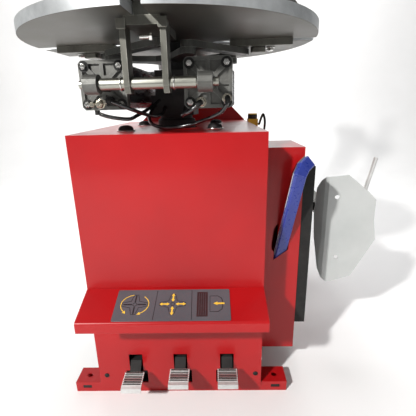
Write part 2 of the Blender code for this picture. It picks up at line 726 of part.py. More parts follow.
def hexagon(half_flat, centre):
    r = half_flat / cos(pi / 6)
    return [(centre[0] + r * cos(pi / 6 + i * pi / 3), centre[1] + r * sin(pi / 6 + i * pi / 3)) for i in range(6)]


def build_arm(red, steel, black, cast):
    c = (COLUMN_X, HEAD_Y)
    arm = block((COLUMN_X - ARM_HALF, HEAD_Y + 0.020, ARM_Z - ARM_HALF), (COLUMN_X + ARM_HALF, ARM_REAR, ARM_Z + ARM_HALF))
    join(arm, block((COLUMN_X - 0.042, HEAD_Y - 0.038, ARM_Z - 0.060), (COLUMN_X + 0.042, HEAD_Y + 0.038, ARM_Z + 0.060)))
    w = ARM_HALF - 0.005
    cut(arm, block((COLUMN_X - w, HEAD_Y + 0.045, ARM_Z - w), (COLUMN_X + w, ARM_REAR + 0.01, ARM_Z + w)))
    cut(arm, prism(hexagon(HEX_FLAT + 0.0006, c), ARM_Z - 0.1, ARM_Z + 0.1, "z"))
    settle(arm, "tool_arm", red, (COLUMN_X, HEAD_Y, ARM_Z))
    settle(prism(hexagon(HEX_FLAT, c), HEX_BOTTOM, HEX_TOP, "z"), "hex_shaft", steel, (c[0], c[1], HEX_BOTTOM))
    lever_x = COLUMN_X + 0.042 + GAP
    lever = rod((lever_x, HEAD_Y, ARM_Z), (lever_x + 0.018, HEAD_Y, ARM_Z), 0.016, 24)
    join(lever, sweep([Vector((lever_x + 0.010, HEAD_Y, ARM_Z)), Vector((lever_x + 0.010, HEAD_Y - 0.060, ARM_Z + 0.030)),
                       Vector((lever_x + 0.012, HEAD_Y - 0.120, ARM_Z + 0.060))], circle(0.0065, 12), (1, 0, 0)))
    settle(lever, "lock_lever", black, (lever_x, HEAD_Y, ARM_Z))
    build_mount_head(c, cast)


def build_mount_head(c, cast):
    """Socket on the hex shaft and the curved duck-bill foot that guides the bead."""
    top = HEX_BOTTOM + 0.030
    foot_z = 0.985
    socket = turned([(0.030, HEX_BOTTOM - 0.030), (0.033, HEX_BOTTOM - 0.024), (0.033, top)], c, "z", 28)
    path = smooth_path([(c[0], c[1], HEX_BOTTOM - 0.015), (c[0] - 0.004, c[1] + 0.006, foot_z + 0.040),
                        (c[0] - 0.030, c[1] + 0.018, foot_z + 0.012), (c[0] - 0.075, c[1] + 0.012, foot_z + 0.008)], 4)
    section = [(0.022, 0.010), (-0.022, 0.010), (-0.022, -0.010), (0.022, -0.010)]
    join(socket, sweep(path, section, (0, 1, 0)))
    bill = smooth_path([(c[0] - 0.002, c[1] + 0.004, foot_z + 0.030), (c[0] + 0.030, c[1] + 0.006, foot_z + 0.010),
                        (c[0] + 0.070, c[1] - 0.010, foot_z + 0.020)], 4)
    join(socket, sweep(bill, [(0.018, 0.007), (-0.018, 0.007), (-0.018, -0.007), (0.018, -0.007)], (0, 1, 0)))
    cut(socket, prism(hexagon(HEX_FLAT + GAP, c), HEX_BOTTOM - GAP, top + 0.02, "z"))
    settle(socket, "mount_head", cast, (c[0], c[1], HEX_BOTTOM))


# ---------------------------------------------------------------- bead breaker

def build_housing(red, rubber, alloy):
    """Box beside the cabinet that carries the rubber pad; open towards the cabinet and below."""
    x0, x1 = CAB_W / 2 + GAP, HOUSING_RIGHT
    y0, y1 = HOUSING_FRONT, HOUSING_REAR
    z0, z1 = HOUSING_BOTTOM, HOUSING_TOP
    shell = block((x0, y0, z0), (x1, y1, z1))
    cut(shell, block((x0 - 0.01, y0 + SHEET, z0 - 0.01), (x1 - SHEET, y1 - SHEET, z1 - SHEET)))
    c = (LEVER_SLOT_X, HOUSING_FRONT, LEVER_AT[2])
    slot = sweep([Vector((c[0], y0 - 0.01, c[2])), Vector((c[0], y0 + 0.02, c[2]))],
                 oval(0.0205, 0.0400), (1, 0, 0))
    slot.data.transform(Matrix.Translation((c[0], 0, c[2])) @ Matrix.Rotation(radians(6.0), 4, "Y")
                        @ Matrix.Translation((-c[0], 0, -c[2])))
    cut(shell, slot)
    room = [(LEVER_HALF + 0.0015, 0.0045), (-LEVER_HALF - 0.0015, 0.0045), (-LEVER_HALF - 0.0015, -0.0120),
            (LEVER_HALF + 0.0015, -0.0120)]
    at = Vector(LEVER_AT)
    cut(shell, sweep([at - LEVER_DIR * 0.075, at + LEVER_DIR * 0.080], room, LEVER_SIDE))
    settle(shell, "breaker_housing", red)
    pad = block((x1 + GAP, y0 + 0.002, PAD_BOTTOM), (x1 + GAP + PAD_T, y1 - 0.003, PAD_TOP))
    settle(pad, "rubber_pad", rubber)


def oval(half_w, half_h, n=8):
    """Upright slot outline with round ends."""
    straight = half_h - half_w
    pts = []
    for i in range(n + 1):
        a = pi * i / n
        pts.append((half_w * cos(a), straight + half_w * sin(a)))
    for i in range(n + 1):
        a = pi + pi * i / n
        pts.append((half_w * cos(a), -straight + half_w * sin(a)))
    return pts


def build_breaker(dark, blade_grey, chrome, alloy):
    y, z = BREAKER_Y, BREAKER_Z
    b = BREAKER_ARM_HALF
    tube = turned([(0.050, -0.060), (0.050, 0.1965)], (y, z), "x", 28)
    cut(tube, rod((-0.050, y, z), (0.186, y, z), 0.045, 28))
    cut(tube, rod((0.150, y, z), (0.250, y, z), 0.0105, 20))
    settle(tube, "breaker_cylinder", alloy)
    rod_x = ARM_X + b + 0.012
    shaft = turned([(0.0445, 0.060), (0.0445, 0.078), (0.0100, 0.078), (0.0100, rod_x), (0.0160, rod_x),
                    (0.0160, rod_x + 0.014)], (y, z), "x", 24)
    settle(shaft, "breaker_rod", chrome, (rod_x, y, z))
    arm = block((ARM_X - b, BLADE_PIN[1] + 0.024, z - b), (ARM_X + b, SWING_Y, z + b))
    join(arm, turned([(0.026, z - b - 0.004), (0.026, z + b + 0.004)], (ARM_X, SWING_Y), "z", 24))
    pin_x, pin_y = BLADE_PIN
    join(arm, block((pin_x - 0.011, pin_y, z - b + 0.001), (pin_x + 0.011, pin_y + 0.03, z + b - 0.001)))
    join(arm, turned([(0.011, z - b + 0.001), (0.011, z + b - 0.001)], (pin_x, pin_y), "z", 20))
    slot_y0, slot_y1 = y - 0.038, y + 0.013
    cut(arm, block((ARM_X - b - 0.01, slot_y0, z - 0.013), (ARM_X + b + 0.01, slot_y1, z + 0.013)))
    cut(arm, rod((ARM_X, SWING_Y, z - 0.05), (ARM_X, SWING_Y, z + 0.05), SWING_PIN_R + 0.0005, 24))
    cut(arm, rod((pin_x, pin_y, z - 0.05), (pin_x, pin_y, z + 0.05), 0.0055, 20))
    settle(arm, "breaker_arm", dark, (ARM_X, SWING_Y, z))
    build_bracket(dark)
    build_blade(blade_grey)
    foot = Vector((0.4400, 0.240, z + b + 0.0004))
    grip = smooth_path([(0.4400, 0.240, z + b + 0.008), (0.4500, 0.233, z + b + 0.036),
                        (0.4860, 0.205, z + 0.070), (0.5000, 0.202, z + 0.120), (0.5105, 0.200, z + 0.176)], 4)
    settle(sweep([foot] + grip, circle(0.0055, 10), (1, 0, 0)), "breaker_handle", chrome, (ARM_X, SWING_Y, z))


def build_bracket(dark):
    """Welded bracket on the cabinet's side: two lugs above and below the arm's eye, and the pin."""
    z, b = BREAKER_Z, BREAKER_ARM_HALF
    x0 = CAB_W / 2 + GAP
    y0 = CAB_D - 0.050
    bracket = block((x0, y0 - 0.070, z - 0.050), (x0 + 0.008, CAB_D - 0.002, z + 0.050))
    for s in (-1, 1):
        za = z + s * (b + 0.0046)
        zb = z + s * (b + 0.0126)
        outline = [(x0 + 0.004, y0 - 0.060), (x0 + 0.004, CAB_D - 0.006), (ARM_X - 0.018, SWING_Y + 0.024),
                   (ARM_X + 0.012, SWING_Y + 0.024), (ARM_X + 0.026, SWING_Y + 0.008),
                   (ARM_X + 0.026, SWING_Y - 0.014), (ARM_X - 0.010, SWING_Y - 0.030)]
        join(bracket, prism(outline, min(za, zb), max(za, zb), "z"))
    join(bracket, rod((ARM_X, SWING_Y, z - b - 0.016), (ARM_X, SWING_Y, z + b + 0.016), SWING_PIN_R, 24))
    settle(bracket, "breaker_bracket", dark)


def blade_points():
    """Blade outline (u, z) from its pin: u along the plate to the right, z up."""
    left, right = -0.073, 0.070
    top, bottom = 0.128, -0.176
    return [(-0.034, bottom), (-0.020, bottom + 0.002), (0.029, bottom + 0.025), (right + 0.009, -0.038),
            (right + 0.001, 0.012), (right, 0.067), (0.051, 0.087), (0.001, top), (-0.052, top - 0.008),
            (-0.063, top - 0.019), (left, top - 0.042), (left - 0.003, 0.008), (left + 0.001, -0.052),
            (-0.058, bottom + 0.036), (-0.047, bottom + 0.011)]


def build_blade(grey):
    """Plate with its inner edge rolled back, two holes, and two lugs round the arm's pin."""
    z = BREAKER_Z
    px, py = BLADE_PIN
    t = BLADE_T
    back = 0.012
    pts = [(u, w + BLADE_LIFT) for u, w in blade_points()]
    plate = prism(pts, -back - t, -back, "y")
    for u, w in ((-0.022, 0.069), (-0.012, -0.100)):
        w += BLADE_LIFT
        cut(plate, rod((u, -0.1, w), (u, 0.1, w), 0.0060, 18))
    bm = bmesh.new()
    bm.from_mesh(plate.data)
    bmesh.ops.triangulate(bm, faces=bm.faces)
    for cut_x in (-0.044, -0.054):
        bmesh.ops.bisect_plane(bm, geom=bm.verts[:] + bm.edges[:] + bm.faces[:],
                               plane_co=(cut_x, 0, 0), plane_no=(1, 0, 0), dist=1e-6)
    for v in bm.verts:
        over = max(0.0, -0.044 - v.co.x)
        v.co.y += over * 0.25 + over * over * 14.0
    bm.to_mesh(plate.data)
    bm.free()
    b = BREAKER_ARM_HALF
    for s in (-1, 1):
        za = s * (b + 0.0006)
        zb = s * (b + 0.0080)
        lug = [(-0.012, -back - 0.002), (0.012, -back - 0.002), (0.012, 0.004), (0.006, 0.012), (-0.006, 0.012), (-0.012, 0.004)]
        join(plate, prism(lug, min(za, zb), max(za, zb), "z"))
    join(plate, rod((0, 0, -b - 0.004), (0, 0, b + 0.004), 0.0050, 20))
    plate.data.transform(Matrix.Translation((px, py, z)) @ Matrix.Rotation(-BLADE_FACE, 4, "Z"))
    settle(plate, "breaker_blade", grey, (px, py, z))


def build_lever(steel, blue):
    """Tyre lever stored in the housing's slot: steel bar with a sleeve on its front face."""
    c = Vector(LEVER_AT)
    d = LEVER_DIR
    top = c + d * 0.172
    bent = top + Vector((0.009, 0.009, 0.014))
    tip = bent + Vector((0.016, 0.016, 0.009))
    h = LEVER_HALF
    flat = [(h, 0.0032), (-h, 0.0032), (-h, -0.0032), (h, -0.0032)]
    low_end = c - d * 0.060
    bar = sweep([c - d * 0.150, low_end, c + d * 0.090, top, bent, tip], flat, LEVER_SIDE)
    settle(bar, "lever_bar", steel, c)
    low, high = -0.0035, -0.0105
    section = [(h, low), (-h + 0.003, low), (-h + 0.003, high + 0.002), (-h + 0.005, high), (h - 0.002, high), (h, high + 0.002)]
    sleeve = sweep([low_end, c + d * 0.090, top, bent, tip], section, LEVER_SIDE)
    settle(sleeve, "lever_sleeve", blue, c)


def build_air_unit(yellow, black):
    """Filter and regulator on the right side near the rear, with its short hose."""
    x0 = CAB_W / 2 + GAP
    y = 0.415
    body = block((x0, y - 0.018, 0.606), (x0 + 0.030, y + 0.018, 0.646))
    join(body, rod((x0 + 0.015, y, 0.640), (x0 + 0.015, y, 0.662), 0.0140, 20))
    join(body, turned([(0.010, 0.545), (0.014, 0.552), (0.014, 0.612)], (x0 + 0.015, y), "z", 20))
    settle(body, "air_unit", yellow)
    start = Vector((x0 + 0.0304, y - 0.004, 0.630))
    end = Vector((x0 + 0.0004, y - 0.032, 0.540))
    pts = [(x0 + 0.036, y - 0.004, 0.630), (x0 + 0.042, y - 0.012, 0.652),
           (x0 + 0.046, y - 0.022, 0.658), (x0 + 0.050, y - 0.026, 0.630), (x0 + 0.040, y - 0.028, 0.570),
           (x0 + 0.006, y - 0.032, 0.540)]
    settle(sweep([start] + smooth_path(pts, 4) + [end], circle(0.0036, 8), (0, 1, 0)), "air_unit_hose", black)


def centre_frame():
    """Moves the whole machine so that the frame's origin is under the middle of its outline."""
    lo = Vector((1e9, 1e9, 1e9))
    hi = -lo
    parts = [o for o in bpy.data.objects if o.type == "MESH"]
    for o in parts:
        for v in o.data.vertices:
            p = o.location + v.co
            lo = Vector([min(a, b) for a, b in zip(lo, p)])
            hi = Vector([max(a, b) for a, b in zip(hi, p)])
    shift = Vector((-(lo.x + hi.x) / 2, -(lo.y + hi.y) / 2, -lo.z))
    for o in parts:
        o.location = o.location + shift
    print("FRAME_SHIFT", tuple(round(c, 6) for c in shift), "SIZE", tuple(round(c, 4) for c in hi - lo))


def main():
    clear_scene()
    red = material("red_paint", RED, 0.0, 0.30)
    black = material("black_paint", BLACK, 0.0, 0.45)
    steel = material("machined_steel", (0.42, 0.41, 0.40, 1.0), 1.0, 0.35)
    dark = material("dark_steel", (0.20, 0.20, 0.19, 1.0), 0.9, 0.40)
    cast = material("cast_aluminium", (0.34, 0.34, 0.33, 1.0), 0.8, 0.50)
    alloy = material("aluminium", (0.72, 0.73, 0.74, 1.0), 1.0, 0.30)
    chrome = material("chrome", (0.80, 0.80, 0.80, 1.0), 1.0, 0.12)
    iron = material("gearbox_iron", (0.05, 0.05, 0.055, 1.0), 0.3, 0.55)
    rubber = material("rubber", (0.015, 0.015, 0.016, 1.0), 0.0, 0.75)
    hose = material("hose_black", (0.018, 0.018, 0.020, 1.0), 0.0, 0.40)
    plate_grey = material("plate_grey", (0.13, 0.14, 0.16, 1.0), 0.0, 0.45)
    blade_grey = material("blade_grey", (0.38, 0.41, 0.42, 1.0), 0.1, 0.45)
    blue = material("sleeve_blue", (0.05, 0.07, 0.42, 1.0), 0.0, 0.40)
    yellow = material("unit_yellow", (0.85, 0.60, 0.04, 1.0), 0.0, 0.35)
    build_cabinet(red)
    build_foot("foot_front", SHEET + GAP, red)
    build_foot("foot_rear", REAR_FOOT_Y, red)
    build_shelf(red, plate_grey)
    build_drive(iron)
    build_pedal_frame(black)
    for x, tag in zip(PEDAL_X, ("left", "middle", "right")):
        build_pedal(x, tag, PEDAL_LEFT_DROP if tag == "left" else 0.0, black, alloy)
    build_disc(steel)
    build_hub(black)
    build_slides(dark, cast)
    build_links(dark)
    for side, tag in ((-1, "left"), (1, "right")):
        build_cylinder(side, tag, alloy, cast, chrome)
    build_cross_shaft("front", 0.0, steel)
    build_cross_shaft("rear", pi, steel)
    build_hoses(hose)
    build_column_base(red)
    build_column(red, steel)
    build_arm(red, steel, black, cast)
    build_housing(red, rubber, alloy)
    build_breaker(dark, blade_grey, chrome, alloy)
    build_lever(chrome, blue)
    build_air_unit(yellow, hose)
    centre_frame()


main()
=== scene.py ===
"""Looks of the tire changer: detailed pieces, materials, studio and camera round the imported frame."""
import json
from math import atan2, cos, pi, radians, sin, sqrt, tan

import bmesh
import bpy
from mathutils import Matrix, Vector


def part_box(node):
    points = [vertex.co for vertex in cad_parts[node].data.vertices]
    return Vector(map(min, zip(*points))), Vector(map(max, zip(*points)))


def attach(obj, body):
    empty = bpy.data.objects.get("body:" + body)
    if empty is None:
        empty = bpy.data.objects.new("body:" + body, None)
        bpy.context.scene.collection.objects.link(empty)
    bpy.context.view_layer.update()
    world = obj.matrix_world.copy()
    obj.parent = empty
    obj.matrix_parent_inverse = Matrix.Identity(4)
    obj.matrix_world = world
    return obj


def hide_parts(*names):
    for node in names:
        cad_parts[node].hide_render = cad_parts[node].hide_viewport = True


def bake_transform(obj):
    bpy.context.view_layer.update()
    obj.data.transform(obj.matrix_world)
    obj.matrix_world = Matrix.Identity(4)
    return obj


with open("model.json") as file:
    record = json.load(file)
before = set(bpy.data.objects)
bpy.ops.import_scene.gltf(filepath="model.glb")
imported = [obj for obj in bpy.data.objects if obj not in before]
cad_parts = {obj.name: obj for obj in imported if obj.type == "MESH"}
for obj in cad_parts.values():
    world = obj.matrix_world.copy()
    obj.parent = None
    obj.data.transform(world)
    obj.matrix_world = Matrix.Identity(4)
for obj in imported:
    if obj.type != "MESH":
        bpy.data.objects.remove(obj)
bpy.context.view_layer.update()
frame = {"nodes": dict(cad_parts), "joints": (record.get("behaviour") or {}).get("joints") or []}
NODES = frame["nodes"]
JOINTS = {j["name"]: j for j in frame["joints"]}

# Camera, in the machine frame, metres and degrees
CAMERA_AT = (0.0917, -0.6592, 0.6897)
CAMERA_YAW, CAMERA_PITCH, CAMERA_ROLL = -1.160, 17.285, 1.270
CAMERA_LENS = 28.64

# Turntable, in its own frame, metres
DISC_R = 0.3297
DISC_BOTTOM, DISC_TOP = 0.830, 0.852
SLOT_HALF, SLOT_INNER = 0.015, 0.095
RIM_STEPS = 60
SHAFT_Z, SHAFT_R_AT = 0.7280, -0.2600
COVER_X, COVER_Z, COVER_FACE = 0.100, 0.7293, -0.2122
NUT_OFFSET = 0.0340
HOSE_R, UNIT_HOSE_R = 0.0037, 0.0036

# Shelf and control plate, in the machine frame
WALL_Y, SHELF_Z, SHELF_FRONT_Z, SHELF_OUT = -0.0003, 0.297, 0.268, 0.088
SHELF_HALF, SHELF_T, SHELF_R, LIP_Z = 0.200, 0.003, 0.007, 0.244
PLATE_T, PLATE_DOWN = 0.0012, 0.006

# Air unit's back face and middle
UNIT_X, UNIT_Y = 0.2003, 0.415

# Machine frame: origin on the floor under the front panel's middle, +Y into the machine
panel_lo, panel_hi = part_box("front_panel")
MACHINE = Matrix.Translation(((panel_lo.x + panel_hi.x) / 2, panel_lo.y, 0.0))
SPIN = Vector(JOINTS["turntable_spin"]["pos_m"])
inward = Vector(JOINTS["jaw_front_slide"]["axis"])
TURN = atan2(-inward.x, inward.y)
SLOTS = ("front", "right", "rear", "left")


def table(quarter=0):
    """Matrix of the turntable's own frame, turned on by quarters; its front slot points to -Y."""
    return Matrix.Translation((SPIN.x, SPIN.y, 0.0)) @ Matrix.Rotation(TURN + quarter * pi / 2, 4, "Z")


# ---------------------------------------------------------------- mesh tools

def add_faces(bm, rings, closed_ends=True, wrap=True):
    """Skins a list of vertex rings of the same length."""
    n = len(rings[0])
    for a, b in zip(rings, rings[1:]):
        for i in range(n if wrap else n - 1):
            j = (i + 1) % n
            quad = []
            for v in (a[i], a[j], b[j], b[i]):
                if v not in quad:
                    quad.append(v)
            if len(quad) > 2:
                bm.faces.new(quad)
    if closed_ends:
        for ring in (rings[0], rings[-1]):
            if len(set(ring)) > 2:
                bm.faces.new(ring)


def add_box(bm, lo, hi):
    corners = [bm.verts.new((x, y, z)) for x in (lo[0], hi[0]) for y in (lo[1], hi[1])
               for z in (lo[2], hi[2])]
    for face in ((0, 1, 3, 2), (4, 6, 7, 5), (0, 4, 5, 1), (2, 3, 7, 6), (0, 2, 6, 4), (1, 5, 7, 3)):
        bm.faces.new([corners[i] for i in face])


def lift(u, w, h, axis):
    """Point from outline coordinates (u, w) and height h along the axis."""
    return {"x": (h, u, w), "y": (u, h, w), "z": (u, w, h)}[axis]


def add_prism(bm, outline, lo, hi, axis="z"):
    rings = [[bm.verts.new(lift(u, w, h, axis)) for u, w in outline] for h in (lo, hi)]
    add_faces(bm, rings)


def basis(axis):
    """Rotation that takes +Z to the axis."""
    return Vector(axis).to_track_quat("Z", "Y").to_matrix()


def add_turned(bm, steps, at, axis=(0, 0, 1), n=32):
    """Turns (radius, height) steps about the axis through at; radius 0 closes to a point."""
    m = basis(axis)
    rings = []
    for r, h in steps:
        if r <= 1e-7:
            v = bm.verts.new(Vector(at) + m @ Vector((0, 0, h)))
            rings.append([v] * n)
            continue
        rings.append([bm.verts.new(Vector(at) + m @ Vector((r * cos(2 * pi * i / n),
                                                            r * sin(2 * pi * i / n), h)))
                      for i in range(n)])
    add_faces(bm, rings)


def add_ring(bm, r_in, r_out, h0, h1, at, axis=(0, 0, 1), n=32):
    """Washer-like ring with a square section."""
    m = basis(axis)
    rings = []
    for r, h in ((r_in, h0), (r_out, h0), (r_out, h1), (r_in, h1), (r_in, h0)):
        rings.append([(r, h, i) for i in range(n)])
    verts = [[bm.verts.new(Vector(at) + m @ Vector((r * cos(2 * pi * i / n), r * sin(2 * pi * i / n), h)))
              for r, h, i in ring] for ring in rings[:-1]]
    add_faces(bm, verts + [verts[0]], closed_ends=False)


def smooth_path(points, steps=6):
    """Catmull-Rom curve through the points."""
    pts = [Vector(p) for p in points]
    pts = [pts[0] * 2 - pts[1]] + pts + [pts[-1] * 2 - pts[-2]]
    out = []
    for i in range(1, len(pts) - 2):
        a, b, c, d = pts[i - 1:i + 3]
        for k in range(steps):
            t = k / steps
            out.append(0.5 * ((2 * b) + (c - a) * t + (2 * a - 5 * b + 4 * c - d) * t ** 2
                              + (3 * b - a - 3 * c + d) * t ** 3))
    out.append(pts[-2])
    return out


def add_sweep(bm, path, section, side):
    """Carries section points (u, w) along path; u lies along side."""
    rings = []
    u = Vector(side).normalized()
    for i, p in enumerate(path):
        before = (p - path[i - 1]).normalized() if i else Vector()
        after = (path[i + 1] - p).normalized() if i + 1 < len(path) else Vector()
        t = (before + after).normalized()
        u = (u - t * u.dot(t)).normalized()
        w = t.cross(u)
        rings.append([bm.verts.new(p + (u * s[0] + w * s[1])) for s in section])
    add_faces(bm, rings)


def circle(r, n=16):
    return [(r * cos(2 * pi * i / n), r * sin(2 * pi * i / n)) for i in range(n)]


def rounded(half_u, half_w, r, n=4):
    """Rectangle outline with round corners."""
    pts = []
    for k, (su, sw) in enumerate(((1, 1), (-1, 1), (-1, -1), (1, -1))):
        for i in range(n + 1):
            a = k * pi / 2 + i * pi / 2 / n
            pts.append((su * (half_u - r) + r * cos(a), sw * (half_w - r) + r * sin(a)))
    return pts


def soften(obj, width, segments=2, angle=32):
    """Rounds the sharp edges with a bevel whose normals are hardened."""
    mod = obj.modifiers.new("edges", "BEVEL")
    mod.width = width
    mod.segments = segments
    mod.limit_method = "ANGLE"
    mod.angle_limit = radians(angle)
    mod.use_clamp_overlap = True
    mod.harden_normals = True


def shade(mesh, angle=32):
    mesh.shade_smooth()
    mesh.set_sharp_from_angle(angle=radians(angle))


def piece(name, bm, mat, body, where=MACHINE, stands_for=(), edge=0.0, segments=2, angle=32):
    """Turns a bmesh into a finished piece that rides on a body."""
    bmesh.ops.recalc_face_normals(bm, faces=bm.faces)
    bm.transform(where)
    mesh = bpy.data.meshes.new(name)
    bm.to_mesh(mesh)
    bm.free()
    shade(mesh, angle)
    obj = bpy.data.objects.new(name, mesh)
    bpy.context.scene.collection.objects.link(obj)
    mesh.materials.append(mat)
    if edge:
        soften(obj, edge, segments, angle)
    if body:
        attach(obj, body)
    if stands_for:
        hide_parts(*stands_for)
    return obj


def keep(node, mat):
    """A CAD node that stays visible in its own shape: it gets only its material."""
    obj = NODES[node]
    shade(obj.data)
    obj.data.materials.clear()
    obj.data.materials.append(mat)


# ---------------------------------------------------------------- materials

def shader(name):
    mat = bpy.data.materials.new(name)
    mat.use_nodes = True
    tree = mat.node_tree
    return mat, tree.nodes, tree.links, tree.nodes["Principled BSDF"]


def coordinates(nodes, links, stretch=(1.0, 1.0, 1.0)):
    where = nodes.new("ShaderNodeTexCoord")
    mapping = nodes.new("ShaderNodeMapping")
    mapping.inputs["Scale"].default_value = stretch
    links.new(where.outputs["Object"], mapping.inputs["Vector"])
    return mapping.outputs["Vector"]


def noise(nodes, links, vector, scale, detail=5.0, rough=0.6):
    node = nodes.new("ShaderNodeTexNoise")
    node.inputs["Scale"].default_value = scale
    node.inputs["Detail"].default_value = detail
    node.inputs["Roughness"].default_value = rough
    links.new(vector, node.inputs["Vector"])
    return node.outputs["Fac"]


def ramp(nodes, links, value, stops):
    node = nodes.new("ShaderNodeValToRGB")
    el = node.color_ramp.elements
    while len(el) < len(stops):
        el.new(0.5)
    for e, (pos, color) in zip(el, stops):
        e.position = pos
        e.color = (*color, 1.0)
    links.new(value, node.inputs["Fac"])
    return node.outputs["Color"]


def spread(nodes, links, value, low_to, high_to):
    """Maps a noise value on to a range."""
    node = nodes.new("ShaderNodeMapRange")
    node.inputs["From Min"].default_value = 0.3
    node.inputs["From Max"].default_value = 0.7
    node.inputs["To Min"].default_value = low_to
    node.inputs["To Max"].default_value = high_to
    links.new(value, node.inputs["Value"])
    return node.outputs["Result"]


def mix(nodes, links, factor, a, b, mode="MIX"):
    node = nodes.new("ShaderNodeMix")
    node.data_type = "RGBA"
    node.blend_type = mode
    for socket, value in (("Factor", factor), ("A", a), ("B", b)):
        target = [s for s in node.inputs if s.name == socket and s.enabled][0]
        if isinstance(value, (int, float)):
            target.default_value = value
        elif isinstance(value, tuple):
            target.default_value = (*value, 1.0)
        else:
            links.new(value, target)
    return [s for s in node.outputs if s.enabled][0]


def bump(nodes, links, height, strength, distance, under=None):
    node = nodes.new("ShaderNodeBump")
    node.inputs["Strength"].default_value = strength
    node.inputs["Distance"].default_value = distance
    links.new(height, node.inputs["Height"])
    if under is not None:
        links.new(under, node.inputs["Normal"])
    return node.outputs["Normal"]


def worn_edges(nodes, links, radius):
    """1 along convex edges, 0 on flats."""
    round_normal = nodes.new("ShaderNodeBevel")
    round_normal.samples = 3
    round_normal.inputs["Radius"].default_value = radius
    geometry = nodes.new("ShaderNodeNewGeometry")
    dot = nodes.new("ShaderNodeVectorMath")
    dot.operation = "DOT_PRODUCT"
    links.new(round_normal.outputs["Normal"], dot.inputs[0])
    links.new(geometry.outputs["True Normal"], dot.inputs[1])
    out = nodes.new("ShaderNodeMapRange")
    out.inputs["From Min"].default_value = 0.995
    out.inputs["From Max"].default_value = 0.86
    links.new(dot.outputs["Value"], out.inputs["Value"])
    return out.outputs["Result"]


def surface(name, dark, light, metallic, rough, scale=14.0, stretch=(1, 1, 1), grain=0.0, grain_scale=400.0,
            coat=0.0, wear=None, wear_radius=0.0012, rough_swing=0.06, specular=0.5):
    """General finish: two tones by noise, roughness that varies, a fine bump, and lighter worn edges."""
    mat, nodes, links, bsdf = shader(name)
    at = coordinates(nodes, links, stretch)
    tone = ramp(nodes, links, noise(nodes, links, at, scale), [(0.30, dark), (0.70, light)])
    fine = noise(nodes, links, at, scale * 6.0, 4.0)
    if wear:
        edge = worn_edges(nodes, links, wear_radius)
        broken = nodes.new("ShaderNodeMath")
        broken.operation = "MULTIPLY"
        links.new(edge, broken.inputs[0])
        links.new(spread(nodes, links, fine, 0.0, 0.9), broken.inputs[1])
        tone = mix(nodes, links, broken.outputs["Value"], tone, wear)
    links.new(tone, bsdf.inputs["Base Color"])
    links.new(spread(nodes, links, fine, rough - rough_swing, rough + rough_swing),
              bsdf.inputs["Roughness"])
    bsdf.inputs["Metallic"].default_value = metallic
    bsdf.inputs["Specular IOR Level"].default_value = specular
    if coat:
        bsdf.inputs["Coat Weight"].default_value = coat
        bsdf.inputs["Coat Roughness"].default_value = 0.06
    if grain:
        height = noise(nodes, links, at, grain_scale, 3.0)
        links.new(bump(nodes, links, height, grain, 0.0004), bsdf.inputs["Normal"])
    return mat


def disc_steel():
    """Turned steel: fine rings about the spindle, brown-grey blotches on the flat faces, which are painted
    dark as painted shade, and a rim painted light as a painted highlight.
    """
    mat, nodes, links, bsdf = shader("turned_steel")
    where = nodes.new("ShaderNodeTexCoord")
    centre = nodes.new("ShaderNodeMapping")
    centre.inputs["Location"].default_value = (-SPIN.x, -SPIN.y, 0.0)
    links.new(where.outputs["Object"], centre.inputs["Vector"])
    at = centre.outputs["Vector"]
    cut = nodes.new("ShaderNodeTexWave")
    cut.wave_type = "RINGS"
    cut.rings_direction = "Z"
    cut.inputs["Scale"].default_value = 160.0
    cut.inputs["Distortion"].default_value = 1.2
    cut.inputs["Detail"].default_value = 3.0
    links.new(at, cut.inputs["Vector"])
    blotch = noise(nodes, links, at, 7.0, 6.0)
    # The flat faces take a dark brown-grey as painted shade and the rim a light grey as a painted
    # highlight, picked below by which way the normal points.
    under = ramp(nodes, links, blotch, [(0.28, (0.080, 0.077, 0.066)), (0.72, (0.150, 0.146, 0.128))])
    rim = ramp(nodes, links, noise(nodes, links, at, 30.0),
               [(0.3, (0.52, 0.54, 0.55)), (0.7, (0.66, 0.68, 0.69))])
    geometry = nodes.new("ShaderNodeNewGeometry")
    parts = nodes.new("ShaderNodeSeparateXYZ")
    links.new(geometry.outputs["Normal"], parts.inputs["Vector"])
    level = nodes.new("ShaderNodeMath")
    level.operation = "ABSOLUTE"
    links.new(parts.outputs["Z"], level.inputs[0])
    flat = nodes.new("ShaderNodeMapRange")
    flat.inputs["From Min"].default_value = 0.25
    flat.inputs["From Max"].default_value = 0.75
    links.new(level.outputs["Value"], flat.inputs["Value"])
    tone = mix(nodes, links, flat.outputs["Result"], rim, under)
    tone = mix(nodes, links, 0.10, tone, cut.outputs["Color"], "OVERLAY")
    links.new(tone, bsdf.inputs["Base Color"])
    links.new(spread(nodes, links, blotch, 0.36, 0.52), bsdf.inputs["Roughness"])
    bsdf.inputs["Metallic"].default_value = 0.75
    links.new(bump(nodes, links, cut.outputs["Color"], 0.10, 0.0002), bsdf.inputs["Normal"])
    return mat


def red_gloss():
    """Powder-coated red: slow colour drift, faint orange peel and a clear coat."""
    mat, nodes, links, bsdf = shader("red_gloss")
    at = coordinates(nodes, links)
    tone = ramp(nodes, links, noise(nodes, links, at, 3.5, 3.0),
                [(0.3, (0.34, 0.004, 0.006)), (0.7, (0.43, 0.006, 0.008))])
    links.new(tone, bsdf.inputs["Base Color"])
    links.new(spread(nodes, links, noise(nodes, links, at, 9.0, 2.0), 0.28, 0.36), bsdf.inputs["Roughness"])
    bsdf.inputs["Specular IOR Level"].default_value = 0.35
    bsdf.inputs["Coat Weight"].default_value = 0.20
    bsdf.inputs["Coat Roughness"].default_value = 0.10
    peel = noise(nodes, links, at, 110.0, 1.0)
    links.new(bump(nodes, links, peel, 0.03, 0.0006), bsdf.inputs["Normal"])
    return mat


